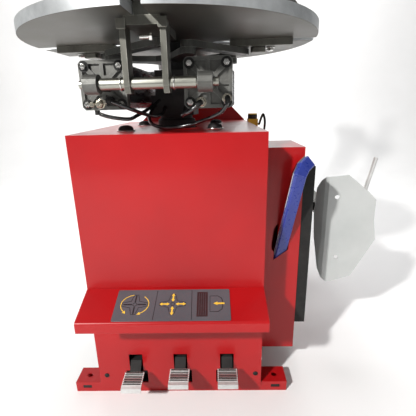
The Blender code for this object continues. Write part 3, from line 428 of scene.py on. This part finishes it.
RED = red_gloss()
DISC = disc_steel()
BLACK = surface("black_paint", (0.012, 0.012, 0.013), (0.026, 0.026, 0.027), 0.0, 0.40, 20.0, grain=0.12,
                wear=(0.20, 0.20, 0.20))
IRON = surface("gearbox_iron", (0.012, 0.012, 0.013), (0.026, 0.024, 0.024), 0.1, 0.60, 18.0, grain=0.45,
               grain_scale=260.0)
STEEL = surface("satin_steel", (0.30, 0.30, 0.265), (0.42, 0.42, 0.375), 1.0, 0.33, 22.0, (0.2, 1, 1))
DARK = surface("oiled_steel", (0.085, 0.087, 0.080), (0.155, 0.156, 0.146), 0.85, 0.42, 16.0, grain=0.10,
               wear=(0.62, 0.60, 0.56), wear_radius=0.0014)
FORK = surface("fork_steel", (0.105, 0.104, 0.090), (0.185, 0.182, 0.160), 0.80, 0.40, 18.0, (1, 1, 0.3),
               grain=0.12, wear=(0.55, 0.54, 0.48), wear_radius=0.0018)
CAST = surface("cast_alloy", (0.100, 0.100, 0.093), (0.165, 0.165, 0.154), 0.70, 0.50, 26.0, grain=0.55,
               grain_scale=620.0, wear=(0.52, 0.52, 0.51), wear_radius=0.0010)
ALLOY = surface("extruded_alloy", (0.56, 0.57, 0.58), (0.70, 0.71, 0.72), 1.0, 0.26, 18.0, (1, 0.06, 1))
PAD_ALLOY = surface("pedal_alloy", (0.68, 0.68, 0.67), (0.86, 0.86, 0.85), 0.75, 0.40, 40.0, grain=0.18,
                    grain_scale=500.0)
CHROME = surface("chrome", (0.72, 0.73, 0.74), (0.82, 0.83, 0.84), 1.0, 0.11, 14.0, rough_swing=0.03)
ZINC = surface("zinc_plate", (0.60, 0.60, 0.58), (0.80, 0.79, 0.76), 1.0, 0.22, 60.0)
BRASS = surface("nickel_brass", (0.55, 0.50, 0.40), (0.72, 0.68, 0.58), 1.0, 0.24, 50.0)
RUBBER = surface("rubber", (0.010, 0.010, 0.010), (0.022, 0.021, 0.020), 0.0, 0.72, 30.0, grain=0.35,
                 grain_scale=700.0, specular=0.35)
HOSE = surface("hose_black", (0.010, 0.010, 0.011), (0.018, 0.018, 0.019), 0.0, 0.20, 30.0, coat=0.5)
PLATE = surface("plate_grey", (0.098, 0.103, 0.118), (0.124, 0.130, 0.146), 0.15, 0.34, 9.0, grain=0.10,
                grain_scale=900.0)
BLADE = surface("blade_grey", (0.470, 0.490, 0.484), (0.560, 0.575, 0.568), 0.15, 0.38, 7.0, grain=0.22,
                grain_scale=320.0, wear=(0.62, 0.64, 0.64), coat=0.15)
BLUE = surface("sleeve_blue", (0.016, 0.032, 0.240), (0.024, 0.044, 0.300), 0.0, 0.30, 24.0, grain=0.20,
               grain_scale=380.0, coat=0.15, wear=(0.16, 0.20, 0.62), wear_radius=0.002)
YELLOW = surface("unit_yellow", (0.80, 0.46, 0.018), (0.90, 0.56, 0.030), 0.0, 0.34, 20.0, coat=0.3)
YELLOW_INK = surface("yellow_ink", (0.85, 0.52, 0.045), (0.93, 0.60, 0.075), 0.0, 0.42, 60.0)
LINE_INK = surface("line_ink", (0.012, 0.013, 0.016), (0.022, 0.023, 0.027), 0.0, 0.45, 60.0)
PANEL_INK = surface("panel_ink", (0.030, 0.014, 0.016), (0.046, 0.022, 0.024), 0.0, 0.40, 80.0, (1, 1, 1))
BOWL = surface("bowl_plastic", (0.55, 0.58, 0.55), (0.65, 0.68, 0.64), 0.0, 0.18, 20.0, coat=0.5)


# ---------------------------------------------------------------- camera and hoses

def add_camera():
    cam = bpy.data.objects.new("camera", bpy.data.cameras.new("camera"))
    bpy.context.scene.collection.objects.link(cam)
    cam.data.lens = CAMERA_LENS
    cam.data.sensor_width = 36.0
    cam.data.clip_start = 0.01
    yaw, pitch, roll = radians(CAMERA_YAW), radians(CAMERA_PITCH), radians(CAMERA_ROLL)
    fwd = Vector((sin(yaw) * cos(pitch), cos(yaw) * cos(pitch), -sin(pitch)))
    right = Vector((cos(yaw), -sin(yaw), 0.0))
    down = fwd.cross(right)
    across = right * cos(roll) + down * sin(roll)
    below = down * cos(roll) - right * sin(roll)
    turn = Matrix((across, -below, -fwd)).transposed().to_4x4()
    cam.matrix_world = Matrix.Translation(MACHINE @ Vector(CAMERA_AT)) @ turn
    bpy.context.scene.camera = cam


def hose(name, points, where, bodies, stands_for, radius=HOSE_R, steps=8, side=(0, 0, 1), straight=False):
    """Round tube along a smooth path; bodies is one or a pair it spans."""
    if straight:
        line = [Vector(points[0])] + smooth_path(points[1:-1], steps) + [Vector(points[-1])]
    else:
        line = smooth_path(points, steps)
    bm = bmesh.new()
    add_sweep(bm, line, circle(radius, 14), side)
    obj = piece(name, bm, HOSE, bodies if isinstance(bodies, str) else None, where,
                stands_for, angle=50)
    if not isinstance(bodies, str):
        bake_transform(obj)
    return obj


def add_hoses():
    hose("hose_left", [(-0.086, -0.2235, 0.7020), (-0.070, -0.2300, 0.6960), (-0.046, -0.2150, 0.6840),
                       (-0.024, -0.1500, 0.6700), (-0.016, -0.0900, 0.6740), (-0.016, -0.0620, 0.6860),
                       (-0.016, -0.0505, 0.6860)],
         table(), ("turntable", "jaw_front"), ("air_hose_left",))
    hose("hose_right", [(0.137, -0.2235, 0.6980), (0.133, -0.2240, 0.6880), (0.120, -0.2120, 0.6740),
                        (0.078, -0.1800, 0.6580), (0.040, -0.1740, 0.6490), (0.000, -0.1600, 0.6470),
                        (-0.030, -0.1350, 0.6530), (-0.044, -0.1000, 0.6680), (-0.042, -0.0620, 0.6880),
                        (-0.041, -0.0505, 0.6900)],
         table(), ("turntable", "jaw_front"), ("air_hose_right",))
    hose("hose_return", [(0.080, -0.2245, 0.6890), (0.067, -0.2235, 0.6800), (0.052, -0.2080, 0.6735),
                         (0.043, -0.1700, 0.6700), (0.038, -0.1200, 0.6730), (0.034, -0.0800, 0.6830),
                         (0.033, -0.0620, 0.6875), (0.033, -0.0505, 0.6880)],
         table(), ("turntable", "jaw_front"), ())
    hose("hose_under", [(-0.1155, -0.2040, 0.6770), (-0.1000, -0.2040, 0.6720), (-0.0780, -0.2030, 0.6680),
                        (-0.0590, -0.1960, 0.6665), (-0.0500, -0.1750, 0.6720), (-0.0400, -0.1200, 0.6840),
                        (-0.0320, -0.0750, 0.6980), (-0.0300, -0.0505, 0.7030)],
         table(), ("turntable", "jaw_front"), ())
    x, y = UNIT_X, UNIT_Y
    hose("hose_unit", [(x + 0.0304, y - 0.004, 0.630), (x + 0.036, y - 0.004, 0.630),
                       (x + 0.042, y - 0.012, 0.652), (x + 0.046, y - 0.022, 0.658),
                       (x + 0.050, y - 0.026, 0.630), (x + 0.040, y - 0.028, 0.570),
                       (x + 0.012, y - 0.032, 0.540), (x + 0.006, y - 0.032, 0.540),
                       (x + 0.0004, y - 0.032, 0.540)],
         MACHINE, "cabinet", ("air_unit_hose",), radius=UNIT_HOSE_R, side=(0, 1, 0), straight=True)


# ---------------------------------------------------------------- turntable

def add_disc():
    """Slotted disc with a finely divided rim and chamfered edges."""
    bm = bmesh.new()
    pts = []
    per = RIM_STEPS
    half = SLOT_HALF
    r = DISC_R
    edge = atan2(half, sqrt(r * r - half * half))
    for q in range(4):
        start = -pi / 2 + q * pi / 2
        ax, ay = cos(start), sin(start)
        sx, sy = -sin(start), cos(start)
        inner = SLOT_INNER + half
        slot_pts = [(sqrt(r * r - half * half), -half)]
        for k in range(13):
            a = -pi / 2 - pi * k / 12
            slot_pts.append((inner + half * cos(a), half * sin(a)))
        slot_pts.append((sqrt(r * r - half * half), half))
        for along, side in slot_pts:
            pts.append((ax * along + sx * side, ay * along + sy * side))
        for k in range(1, per):
            a = start + edge + (pi / 2 - 2 * edge) * k / per
            pts.append((r * cos(a), r * sin(a)))
    add_prism(bm, pts, DISC_BOTTOM, DISC_TOP)
    piece("disc", bm, DISC, "turntable", table(), ("table_disc",), edge=0.0012, angle=30)
    bm = bmesh.new()
    add_turned(bm, [(0, 0.8522), (0.030, 0.8522), (0.0325, 0.8535), (0.0325, 0.8560), (0.0310, 0.8575),
                    (0.018, 0.8580), (0.016, 0.8565), (0, 0.8565)], (0, 0, 0), n=64)
    piece("disc_cap", bm, DARK, "turntable", table())


def hex_bolt(bm, at, axis, r, height, washer=0.0):
    """Hexagon head with chamfered corners, standing on a washer when one is given."""
    base = 0.0
    if washer:
        add_turned(bm, [(0, 0), (washer, 0), (washer, 0.0012), (washer - 0.0004, 0.0016), (0, 0.0016)],
                   at, axis, 28)
        base = 0.0018
    rings = [(0, base), (r, base), (r, base + height * 0.78), (r * 0.86, base + height), (0, base + height)]
    add_turned(bm, rings, at, axis, 6)


def add_slides():
    """Bolts and guide blocks of the four slides, each in the frame of its own slot."""
    for q, name in enumerate(SLOTS):
        where = table(q)
        body = "jaw_" + name
        keep("slide_" + name, FORK)
        keep("jaw_" + name, DARK)
        if name in ("left", "right"):
            bm = bmesh.new()
            add_prism(bm, [(-0.013, -0.217), (0.013, -0.217), (0.016, -0.212), (0.016, -0.188),
                           (0.011, -0.1835), (-0.011, -0.1835), (-0.016, -0.188), (-0.016, -0.212)],
                      0.8040, 0.8152)
            piece("guide_block_" + name, bm, FORK, body, where, edge=0.0014, segments=3)
            bm = bmesh.new()
            hex_bolt(bm, (0, -0.2290, 0.8152), (0, 0, -1), 0.0082, 0.0058, washer=0.0105)
            piece("guide_bolt_" + name, bm, ZINC, body, where, edge=0.0003)
        bm = bmesh.new()
        hex_bolt(bm, (0, -0.2290, 0.8704), (0, 0, 1), 0.0072, 0.0050, washer=0.0092)
        piece("jaw_bolt_" + name, bm, ZINC, body, where, edge=0.0003)


def add_forks():
    """Head blocks and the cross bolt on the front and rear forks."""
    for q, name in ((0, "front"), (2, "rear")):
        where = table(q)
        body = "jaw_" + name
        bm = bmesh.new()
        for x in (-0.034, 0.034):
            outline = [(x - 0.008, 0.8115), (x - 0.0065, 0.8100), (x + 0.0065, 0.8100), (x + 0.008, 0.8115),
                       (x + 0.008, 0.8262), (x - 0.008, 0.8262)]
            add_prism(bm, outline, -0.2790, -0.2742, "y")
        piece("fork_heads_" + name, bm, FORK, body, where, edge=0.0014, segments=3)
        bm = bmesh.new()
        hex_bolt(bm, (0.0130, -0.2600, 0.8005), (-1, 0, 0), 0.0066, 0.0060)
        add_turned(bm, [(0, 0), (0.0036, 0), (0.0036, 0.0160), (0.0030, 0.0166), (0, 0.0166)],
                   (0.0075, -0.2600, 0.8005), (-1, 0, 0), 20)
        piece("fork_bolt_" + name, bm, ZINC, body, where, edge=0.0003)


def add_shafts():
    """Cross shafts with spring clips beside the legs."""
    for q, name in ((0, "front"), (2, "rear")):
        where = table(q)
        keep("cross_shaft_" + name, STEEL)
        bm = bmesh.new()
        for x in (-0.0465, 0.0465):
            add_ring(bm, 0.0101, 0.0122, -0.0007, 0.0007, (x, SHAFT_R_AT, SHAFT_Z), (1, 0, 0), 36)
        piece("shaft_clips_" + name, bm, ZINC, "jaw_" + name, where)


def add_cylinders():
    """Covers, barrels and rods, the covers' corner nuts and the hose fittings."""
    for side, x in (("left", -COVER_X), ("right", COVER_X)):
        keep("cylinder_cover_" + side, CAST)
        keep("cylinder_barrel_" + side, ALLOY)
        keep("cylinder_rod_" + side, CHROME)
        bm = bmesh.new()
        for dx in (-NUT_OFFSET, NUT_OFFSET):
            for dz in (-NUT_OFFSET, NUT_OFFSET):
                add_turned(bm, [(0, 0), (0.0098, 0), (0.0098, 0.0008), (0, 0.0008)],
                           (x + dx, -0.2121, COVER_Z + dz), (0, -1, 0), 28)
        piece("nut_seats_" + side, bm, RUBBER, "jaw_front", table())
        bm = bmesh.new()
        for dx in (-NUT_OFFSET, NUT_OFFSET):
            for dz in (-NUT_OFFSET, NUT_OFFSET):
                hex_bolt(bm, (x + dx, -0.2130, COVER_Z + dz), (0, -1, 0), 0.0060, 0.0040)
                add_turned(bm, [(0, 0), (0.0031, 0), (0.0031, 0.0068), (0.0025, 0.0074), (0, 0.0074)],
                           (x + dx, -0.2130, COVER_Z + dz), (0, -1, 0), 16)
        piece("cover_nuts_" + side, bm, ZINC, "jaw_front", table(), edge=0.0002)
    bm = bmesh.new()
    hex_bolt(bm, (-0.1085, COVER_FACE, 0.6960), (0, -1, 0), 0.0085, 0.0085, washer=0.0092)
    hex_bolt(bm, (-0.1085, -0.2224, 0.6960), (0, -1, 0), 0.0056, 0.0035)
    hex_bolt(bm, (-0.1235, COVER_FACE, 0.6950), (0, -1, 0), 0.0056, 0.0080)
    hex_bolt(bm, (-0.0960, COVER_FACE, 0.6990), (0, -1, 0), 0.0050, 0.0090)
    piece("banjo_left", bm, BRASS, "jaw_front", table(), edge=0.0003)
    bm = bmesh.new()
    add_turned(bm, [(0, 0), (0.0072, 0), (0.0078, 0.0010), (0.0078, 0.0125), (0.0070, 0.0135), (0, 0.0135)],
               (-0.0860, COVER_FACE, 0.7010), (0, -1, 0), 28)
    path = [Vector((-0.0865, -0.2215, 0.7015)), Vector((-0.0850, -0.2238, 0.7012)),
            Vector((-0.0800, -0.2262, 0.7002))]
    add_sweep(bm, smooth_path(path, 4), circle(0.0056, 20), (0, 0, 1))
    add_turned(bm, [(0, 0), (0.0050, 0), (0.0050, 0.0080), (0.0044, 0.0088), (0, 0.0088)],
               (-0.1200, -0.2040, 0.6842), (0, 0, -1), 24)
    piece("elbow_left", bm, RUBBER, "jaw_front", table())
    bm = bmesh.new()
    hex_bolt(bm, (0.087, COVER_FACE, 0.6955), (0, -1, 0), 0.0082, 0.0080, washer=0.0095)
    hex_bolt(bm, (0.1345, COVER_FACE, 0.7010), (0, -1, 0), 0.0078, 0.0075, washer=0.0090)
    piece("banjo_right", bm, BRASS, "jaw_front", table(), edge=0.0003)
    bm = bmesh.new()
    path = [Vector((0.087, -0.2215, 0.6955)), Vector((0.0835, -0.2245, 0.6930)),
            Vector((0.0790, -0.2245, 0.6880))]
    add_sweep(bm, smooth_path(path, 4), circle(0.0052, 20), (0, 0, 1))
    path = [Vector((0.1350, -0.2200, 0.7020)), Vector((0.1370, -0.2235, 0.6995)),
            Vector((0.1365, -0.2240, 0.6930))]
    add_sweep(bm, smooth_path(path, 4), circle(0.0052, 20), (0, 0, 1))
    piece("elbows_right", bm, RUBBER, "jaw_front", table())


def add_links():
    """Cross plate, links with their nuts, and the hub under the disc."""
    keep("rotary_hub", IRON)
    keep("cross_plate", DARK)
    for name in SLOTS:
        keep("link_" + name, DARK)
        bm = bmesh.new()
        pin = JOINTS["link_" + name + "_turn"]["pos_m"]
        hex_bolt(bm, (pin[0], pin[1], 0.8006), (0, 0, -1), 0.0085, 0.0060, washer=0.0105)
        piece("link_nut_" + name, bm, ZINC, "link_" + name, Matrix(), edge=0.0003)


# ---------------------------------------------------------------- cabinet

def shelf_profile():
    """Section (y, z) of the folded shelf from the wall out, down the slope, round the nose, to the lip."""
    z0, z1, out, t, r = SHELF_Z, SHELF_FRONT_Z, SHELF_OUT, SHELF_T, SHELF_R
    slope = Vector((-out, z1 - z0)).normalized()
    outer = [(WALL_Y, z0)]
    angle = atan2(z0 - z1, out)
    turn = pi / 2 - angle
    back = r * tan(turn / 2)
    corner = Vector((-out, z1))
    start = corner - slope * back
    normal = Vector((slope.y, -slope.x))
    centre = start - normal * r
    if centre.y > start.y:
        centre = start + normal * r
    a0 = atan2(start.y - centre.y, start.x - centre.x)
    arc_pts = []
    for k in range(9):
        a = a0 + turn * k / 8
        arc_pts.append((centre.x + r * cos(a), centre.y + r * sin(a)))
    inner_arc = [(centre.x + (r - t) * cos(a0 + turn * k / 8), centre.y + (r - t) * sin(a0 + turn * k / 8))
                 for k in range(9)]
    outer += arc_pts + [(arc_pts[-1][0], LIP_Z)]
    inner = [(arc_pts[-1][0] + t, LIP_Z)] + inner_arc[::-1] + [(WALL_Y, z0 - t * 1.05)]
    return outer + inner


def add_shelf():
    bm = bmesh.new()
    pts = shelf_profile()
    rings = [[bm.verts.new((x, y, z)) for y, z in pts] for x in (-SHELF_HALF, SHELF_HALF)]
    add_faces(bm, rings)
    piece("shelf", bm, RED, "cabinet", MACHINE, ("control_shelf",), edge=0.0006, angle=30)


SLOPE = 0.029 / SHELF_OUT
RUN = Vector((0.0, -1 / sqrt(1 + SLOPE ** 2), -SLOPE / sqrt(1 + SLOPE ** 2)))
OUT = Vector((0.0, RUN.z, -RUN.y))


def plate_point(u, v, h):
    """Point on the control plate: u along X, v down the slope from the plate's top edge, h above it."""
    wall = Vector((0.0, WALL_Y, SHELF_Z))
    p = wall + RUN * (v + PLATE_DOWN) + OUT * (PLATE_T + h)
    return Vector((u, p.y, p.z))


def add_flat(bm, outline, h=0.0002, sink=0.0003):
    """Thin inked shape on the control plate."""
    rings = [[bm.verts.new(plate_point(u, v, k)) for u, v in outline] for k in (-sink, h)]
    add_faces(bm, rings)


def add_stroke(bm, line, width, closed=False, h=0.0002):
    """Inked line of even width along points (u, v)."""
    pts = [Vector((p[0], p[1])) for p in line]
    n = len(pts)
    left, right = [], []
    for i, p in enumerate(pts):
        before = pts[i - 1] if i or closed else None
        after = pts[(i + 1) % n] if i + 1 < n or closed else None
        t = Vector((0.0, 0.0))
        if before is not None:
            t += (p - before).normalized()
        if after is not None:
            t += (after - p).normalized()
        t.normalize()
        s = Vector((-t.y, t.x)) * width / 2
        left.append(p + s)
        right.append(p - s)
    quads = range(n if closed else n - 1)
    low_l, low_r = [[bm.verts.new(plate_point(p.x, p.y, -0.0003)) for p in edge] for edge in (left, right)]
    top_l, top_r = [[bm.verts.new(plate_point(p.x, p.y, h)) for p in edge] for edge in (left, right)]
    for i in quads:
        j = (i + 1) % n
        bm.faces.new((low_l[i], low_r[i], low_r[j], low_l[j]))
        bm.faces.new((top_l[i], top_l[j], top_r[j], top_r[i]))
        bm.faces.new((low_l[i], low_l[j], top_l[j], top_l[i]))
        bm.faces.new((low_r[i], top_r[i], top_r[j], low_r[j]))
    if not closed:
        bm.faces.new((low_l[0], top_l[0], top_r[0], low_r[0]))
        bm.faces.new((low_l[-1], low_r[-1], top_r[-1], top_l[-1]))


def add_arrow(bm, tail, tip, shaft, head_w, head_l, double=False):
    """Straight arrow in plate coordinates; double gives it a head at each end."""
    a, b = Vector(tail), Vector(tip)
    t = (b - a).normalized()
    s = Vector((-t.y, t.x))
    neck = b - t * head_l
    foot = a + t * head_l if double else a
    tail_pts = [a] if double else []
    pts = [foot + s * shaft / 2]
    if double:
        pts = [foot + s * shaft / 2, foot + s * head_w / 2] + tail_pts + [foot - s * head_w / 2]
    pts += [foot - s * shaft / 2, neck - s * shaft / 2, neck - s * head_w / 2, b, neck + s * head_w / 2,
            neck + s * shaft / 2]
    add_flat(bm, [(p.x, p.y) for p in pts], h=0.0003)


def add_control_plate():
    bm = bmesh.new()
    outline = [(-0.0015 + u, 0.041 + v) for u, v in rounded(0.1235, 0.041, 0.003, 4)]
    rings = [[bm.verts.new(plate_point(u, v, h)) for u, v in outline] for h in (-PLATE_T + 0.0001, 0.0)]
    add_faces(bm, rings)
    piece("control_face", bm, PLATE, "cabinet", MACHINE, ("control_plate",), edge=0.0002)
    ink = bmesh.new()
    add_stroke(ink, [(-0.0375, 0.003), (-0.0393, 0.079)], 0.0012)
    add_stroke(ink, [(0.0388, 0.003), (0.0408, 0.079)], 0.0012)
    add_stroke(ink, [(0.0790, 0.0190), (0.0960, 0.0190), (0.1040, 0.0250), (0.1060, 0.0320),
                     (0.1060, 0.0470), (0.1040, 0.0540), (0.0960, 0.0600), (0.0790, 0.0600)],
               0.0017, closed=True)
    for cx, cy in ((-0.0010, 0.0395), (-0.0826, 0.0400)):
        star = []
        for k in range(4):
            a = 90 * k
            for turn, reach in ((-9, 0.0270), (9, 0.0270), (32, 0.0150), (45, 0.0120), (58, 0.0150)):
                star.append((cx + reach * cos(radians(a + turn)) * 1.04,
                             cy + reach * sin(radians(a + turn)) * 0.96))
        add_stroke(ink, star, 0.0013, closed=True)
        add_stroke(ink, [(cx + 0.0042 * cos(2 * pi * i / 16), cy + 0.0042 * sin(2 * pi * i / 16))
                         for i in range(16)], 0.0011, closed=True, h=0.0003)
    cx, cy = -0.0826, 0.0400
    for k in range(4):
        a = radians(90 * k)
        add_stroke(ink, [(cx + 0.0056 * cos(a), cy + 0.0056 * sin(a)),
                         (cx + 0.0245 * cos(a), cy + 0.0245 * sin(a))], 0.0032, h=0.0001)
    piece("control_lines", ink, LINE_INK, "cabinet")
    bm = bmesh.new()
    add_flat(bm, [(0.0510, 0.0080), (0.0740, 0.0080), (0.0740, 0.0720), (0.0510, 0.0720)])
    piece("control_panel_dark", bm, PANEL_INK, "cabinet")
    bm = bmesh.new()
    for k in range(4):
        u = 0.0556 + 0.0046 * k
        add_stroke(bm, [(u, 0.0110), (u, 0.0690)], 0.0006, h=0.0004)
    piece("control_panel_lines", bm, PLATE, "cabinet")
    bm = bmesh.new()
    add_arrow(bm, (0.1100, 0.0390), (0.0864, 0.0390), 0.0040, 0.0095, 0.0087)
    c = (-0.001, 0.0395)
    for du, dv in ((0, -1), (0, 1), (1, 0), (-1, 0)):
        add_arrow(bm, (c[0] + 0.0062 * du, c[1] + 0.0062 * dv), (c[0] + 0.0285 * du, c[1] + 0.0285 * dv),
                  0.0032, 0.0080, 0.0062, double=True)
    for start, end in ((100, 224), (53, -60)):
        line = [(-0.0826 + 0.0300 * cos(radians(start + (end - start) * i / 18)),
                 0.0400 - 0.0255 * sin(radians(start + (end - start) * i / 18))) for i in range(19)]
        add_stroke(bm, line, 0.0016)
        tip, back = Vector(line[-1]), Vector(line[-2])
        d = (tip - back).normalized()
        add_arrow(bm, tip, tip + d * 0.0080, 0.0016, 0.0070, 0.0072)
    piece("control_arrows", bm, YELLOW_INK, "cabinet")


def dome_screw(bm, at, axis, r):
    add_turned(bm, [(0, 0), (r, 0), (r, 0.0006), (r * 0.80, 0.0022), (r * 0.45, 0.0032),
                    (r * 0.42, 0.0022), (0, 0.0022)], at, axis, 28)


def add_cabinet():
    for node in ("front_panel", "rear_panel", "side_panel_right", "top_plate"):
        keep(node, RED)
    keep("side_cover_left", BLACK)
    keep("foot_front", RED)
    keep("foot_rear", RED)
    keep("pedal_frame", BLACK)
    keep("gearbox", IRON)
    keep("column_base", RED)
    keep("breaker_housing", RED)
    keep("breaker_bracket", DARK)
    keep("breaker_cylinder", BLACK)
    bm = bmesh.new()
    for x, z in ((-0.182, 0.053), (0.186, 0.056)):
        dome_screw(bm, (x, -0.0001, z), (0, -1, 0), 0.0060)
    for z in (0.12, 0.33, 0.56):
        for y in (0.030, 0.515):
            dome_screw(bm, (-0.2001, y, z), (-1, 0, 0), 0.0048)
    for x in (-0.17, 0.17):
        for z in (0.07, 0.60):
            dome_screw(bm, (x, 0.5461, z), (0, 1, 0), 0.0048)
    piece("panel_screws", bm, RUBBER, "cabinet")
    # Thin black plates inside the feet's open anchor slots: painted shade for the dark inside of the slots.
    bm = bmesh.new()
    for x in (-0.237, 0.237):
        add_box(bm, (x - 0.0108, 0.0038, 0.0102), (x + 0.0108, 0.0050, 0.0188))
    piece("slot_painted_shade", bm, RUBBER, "cabinet", edge=0.0002)
    seats, caps = bmesh.new(), bmesh.new()
    for x, y in ((-0.103, 0.097), (0.096, 0.125), (-0.103, 0.313), (0.100, 0.320)):
        add_turned(seats, [(0, 0), (0.0200, 0), (0.0200, 0.0012), (0.0192, 0.0020), (0, 0.0020)],
                   (x, y, 0.6381), (0, 0, 1), 40)
        add_turned(caps, [(0, 0.0), (0.0168, 0.0), (0.0168, 0.0020), (0.0150, 0.0062), (0.0105, 0.0090),
                          (0.0050, 0.0102), (0, 0.0105)], (x, y, 0.6402), (0, 0, 1), 40)
    piece("bolt_washers", seats, ZINC, "cabinet", edge=0.0002)
    piece("bolt_caps", caps, RUBBER, "cabinet")
    bm = bmesh.new()
    for x in (-0.110, 0.154):
        for z in (0.340, 0.600):
            hex_bolt(bm, (x, 0.5582, z), (0, 1, 0), 0.0095, 0.0070, washer=0.0120)
    piece("base_bolts", bm, ZINC, "cabinet", edge=0.0004)


def add_pedals():
    """Cast pads on dark arms, with black strips along the grooves between the treads as painted shade."""
    for side, x in (("left", -0.106), ("middle", 0.003), ("right", 0.116)):
        body = "pedal_" + side
        keep("pedal_arm_" + side, RUBBER)
        keep("pedal_pad_" + side, PAD_ALLOY)
        drop = radians(2.8) if side == "left" else 0.0
        pivot = Vector((x, 0.160, 0.078))
        swing = Matrix.Translation(pivot) @ Matrix.Rotation(drop, 4, "X") @ Matrix.Translation(-pivot)
        # Black strips laid along the grooves between the treads: painted shade in the grooves.
        bm = bmesh.new()
        ends = (Vector((x, -0.0180, 0.0895)), Vector((x, -0.0570, 0.0880)))
        along = (ends[1] - ends[0]).normalized()
        up = Vector((0, along.z, -along.y))
        for k in range(8):
            c = ends[0] + along * (0.0035 + 0.0046 * k) + up * 0.0001
            section = [(-0.0012, -0.0010), (0.0012, -0.0010), (0.0012, 0.0002), (-0.0012, 0.0002)]
            rings = []
            for dx in (-0.0205, 0.0205):
                rings.append([bm.verts.new(c + Vector((dx, 0, 0)) + along * s + up * w)
                              for s, w in section])
            add_faces(bm, rings)
        piece("pedal_groove_shade_" + side, bm, RUBBER, body, MACHINE @ swing)


def add_rubber_pad():
    """Tread of the rubber pad: raised bars and two recessed bolts."""
    keep("rubber_pad", RUBBER)
    bm = bmesh.new()
    for k in range(11):
        z = 0.172 + 0.0352 * k
        if z + 0.006 < 0.535:
            add_box(bm, (0.3210, 0.0875, z), (0.3226, 0.2165, z + 0.0055))
    piece("pad_ribs", bm, RUBBER, "cabinet", edge=0.0007, segments=2)
    bm = bmesh.new()
    for z in (0.225, 0.470):
        add_turned(bm, [(0, 0), (0.0110, 0), (0.0110, 0.0009), (0, 0.0009)], (0.3213, 0.152, z), (1, 0, 0),
                   32)
    piece("pad_bolts", bm, ZINC, "cabinet")


def add_air_unit():
    keep("air_unit", YELLOW)
    x, y = UNIT_X, UNIT_Y
    bm = bmesh.new()
    add_turned(bm, [(0, 0), (0.0150, 0), (0.0150, 0.0040), (0.0143, 0.0046), (0.0143, 0.0060)] +
               [(0.0150 if k % 2 else 0.0143, 0.0066 + 0.0012 * k) for k in range(9)] +
               [(0.0143, 0.0180), (0.0120, 0.0215), (0, 0.0218)], (x + 0.015, y, 0.6402), (0, 0, 1), 36)
    piece("unit_knob", bm, BLACK, "cabinet")
    bm = bmesh.new()
    add_turned(bm, [(0, 0), (0.0145, 0), (0.0145, -0.0100), (0.0140, -0.0500), (0.0120, -0.0600),
                    (0.0060, -0.0640), (0.0050, -0.0655), (0, -0.0655)],
               (x + 0.015, y, 0.6105), (0, 0, 1), 36)
    piece("unit_bowl", bm, BOWL, "cabinet")


# ---------------------------------------------------------------- bead breaker and tyre lever

def add_breaker():
    keep("breaker_blade", BLADE)
    keep("breaker_arm", DARK)
    keep("breaker_handle", PAD_ALLOY)
    keep("breaker_rod", CHROME)
    bm = bmesh.new()
    add_turned(bm, [(0, 0), (0.0128, 0), (0.0135, 0.0007), (0.0135, 0.0036), (0.0120, 0.0044), (0, 0.0044)],
               (0.436, 0.182, 0.3952), (0, 0, 1), 32)
    piece("blade_pin_cap", bm, ZINC, "breaker_arm")


def add_lever():
    keep("lever_sleeve", BLUE)
    keep("lever_bar", CHROME)


# ---------------------------------------------------------------- column

def add_column():
    keep("column", RED)
    keep("tool_arm", RED)
    keep("lock_lever", BLACK)
    keep("hex_shaft", CHROME)
    keep("mount_head", DARK)


# ---------------------------------------------------------------- studio

def area(name, at, target, size, power, color=(1, 1, 1)):
    data = bpy.data.lights.new(name, "AREA")
    data.shape = "DISK" if isinstance(size, (int, float)) else "RECTANGLE"
    data.size = size if isinstance(size, (int, float)) else size[0]
    if data.shape == "RECTANGLE":
        data.size_y = size[1]
    data.energy = power
    data.color = color
    lamp = bpy.data.objects.new(name, data)
    bpy.context.scene.collection.objects.link(lamp)
    direction = Vector(target) - Vector(at)
    lamp.matrix_world = Matrix.Translation(at) @ direction.to_track_quat("-Z", "Y").to_matrix().to_4x4()


def add_studio():
    bm = bmesh.new()
    angles = [pi / 2 * k / 16 for k in range(1, 17)]
    profile = [(-3.2, 0.0), (2.2, 0.0)]
    profile += [(2.2 + 1.2 * sin(a), 1.2 - 1.2 * cos(a)) for a in angles] + [(3.4, 4.2)]
    rings = [[bm.verts.new((x, y, z)) for y, z in profile] for x in (-4.5, 4.5)]
    for i in range(len(profile) - 1):
        bm.faces.new((rings[0][i], rings[0][i + 1], rings[1][i + 1], rings[1][i]))
    bmesh.ops.recalc_face_normals(bm, faces=bm.faces)
    mesh = bpy.data.meshes.new("studio_floor")
    bm.to_mesh(mesh)
    bm.free()
    mesh.shade_smooth()
    floor = bpy.data.objects.new("studio_floor", mesh)
    bpy.context.scene.collection.objects.link(floor)
    paper = surface("paper", (0.86, 0.86, 0.86), (0.89, 0.89, 0.89), 0.0, 0.85, 2.0, grain=0.02,
                    specular=0.1)
    mesh.materials.append(paper)
    world = bpy.data.worlds.new("studio")
    bpy.context.scene.world = world
    world.use_nodes = True
    background = world.node_tree.nodes["Background"]
    background.inputs["Color"].default_value = (1.0, 1.0, 1.0, 1.0)
    background.inputs["Strength"].default_value = 0.24
    area("key", (-2.10, -2.95, 2.72), (0.0, -0.2, 0.40), 0.20, 205.0, (1.0, 0.985, 0.96))
    area("fill", (2.4, -1.8, 1.2), (0.1, -0.1, 0.4), 1.8, 2.0)
    area("rim", (0.6, 2.6, 2.8), (0.0, 0.0, 0.8), 1.6, 6.0)
    area("backdrop", (0.0, 1.0, 3.4), (0.0, 3.2, 0.9), 2.2, 95.0)
    bpy.context.scene.view_settings.view_transform = "Standard"


add_camera()
add_hoses()
add_disc()
add_slides()
add_forks()
add_shafts()
add_cylinders()
add_links()
add_shelf()
add_control_plate()
add_cabinet()
add_pedals()
add_rubber_pad()
add_air_unit()
add_breaker()
add_lever()
add_column()
add_studio()

bpy.context.view_layer.update()
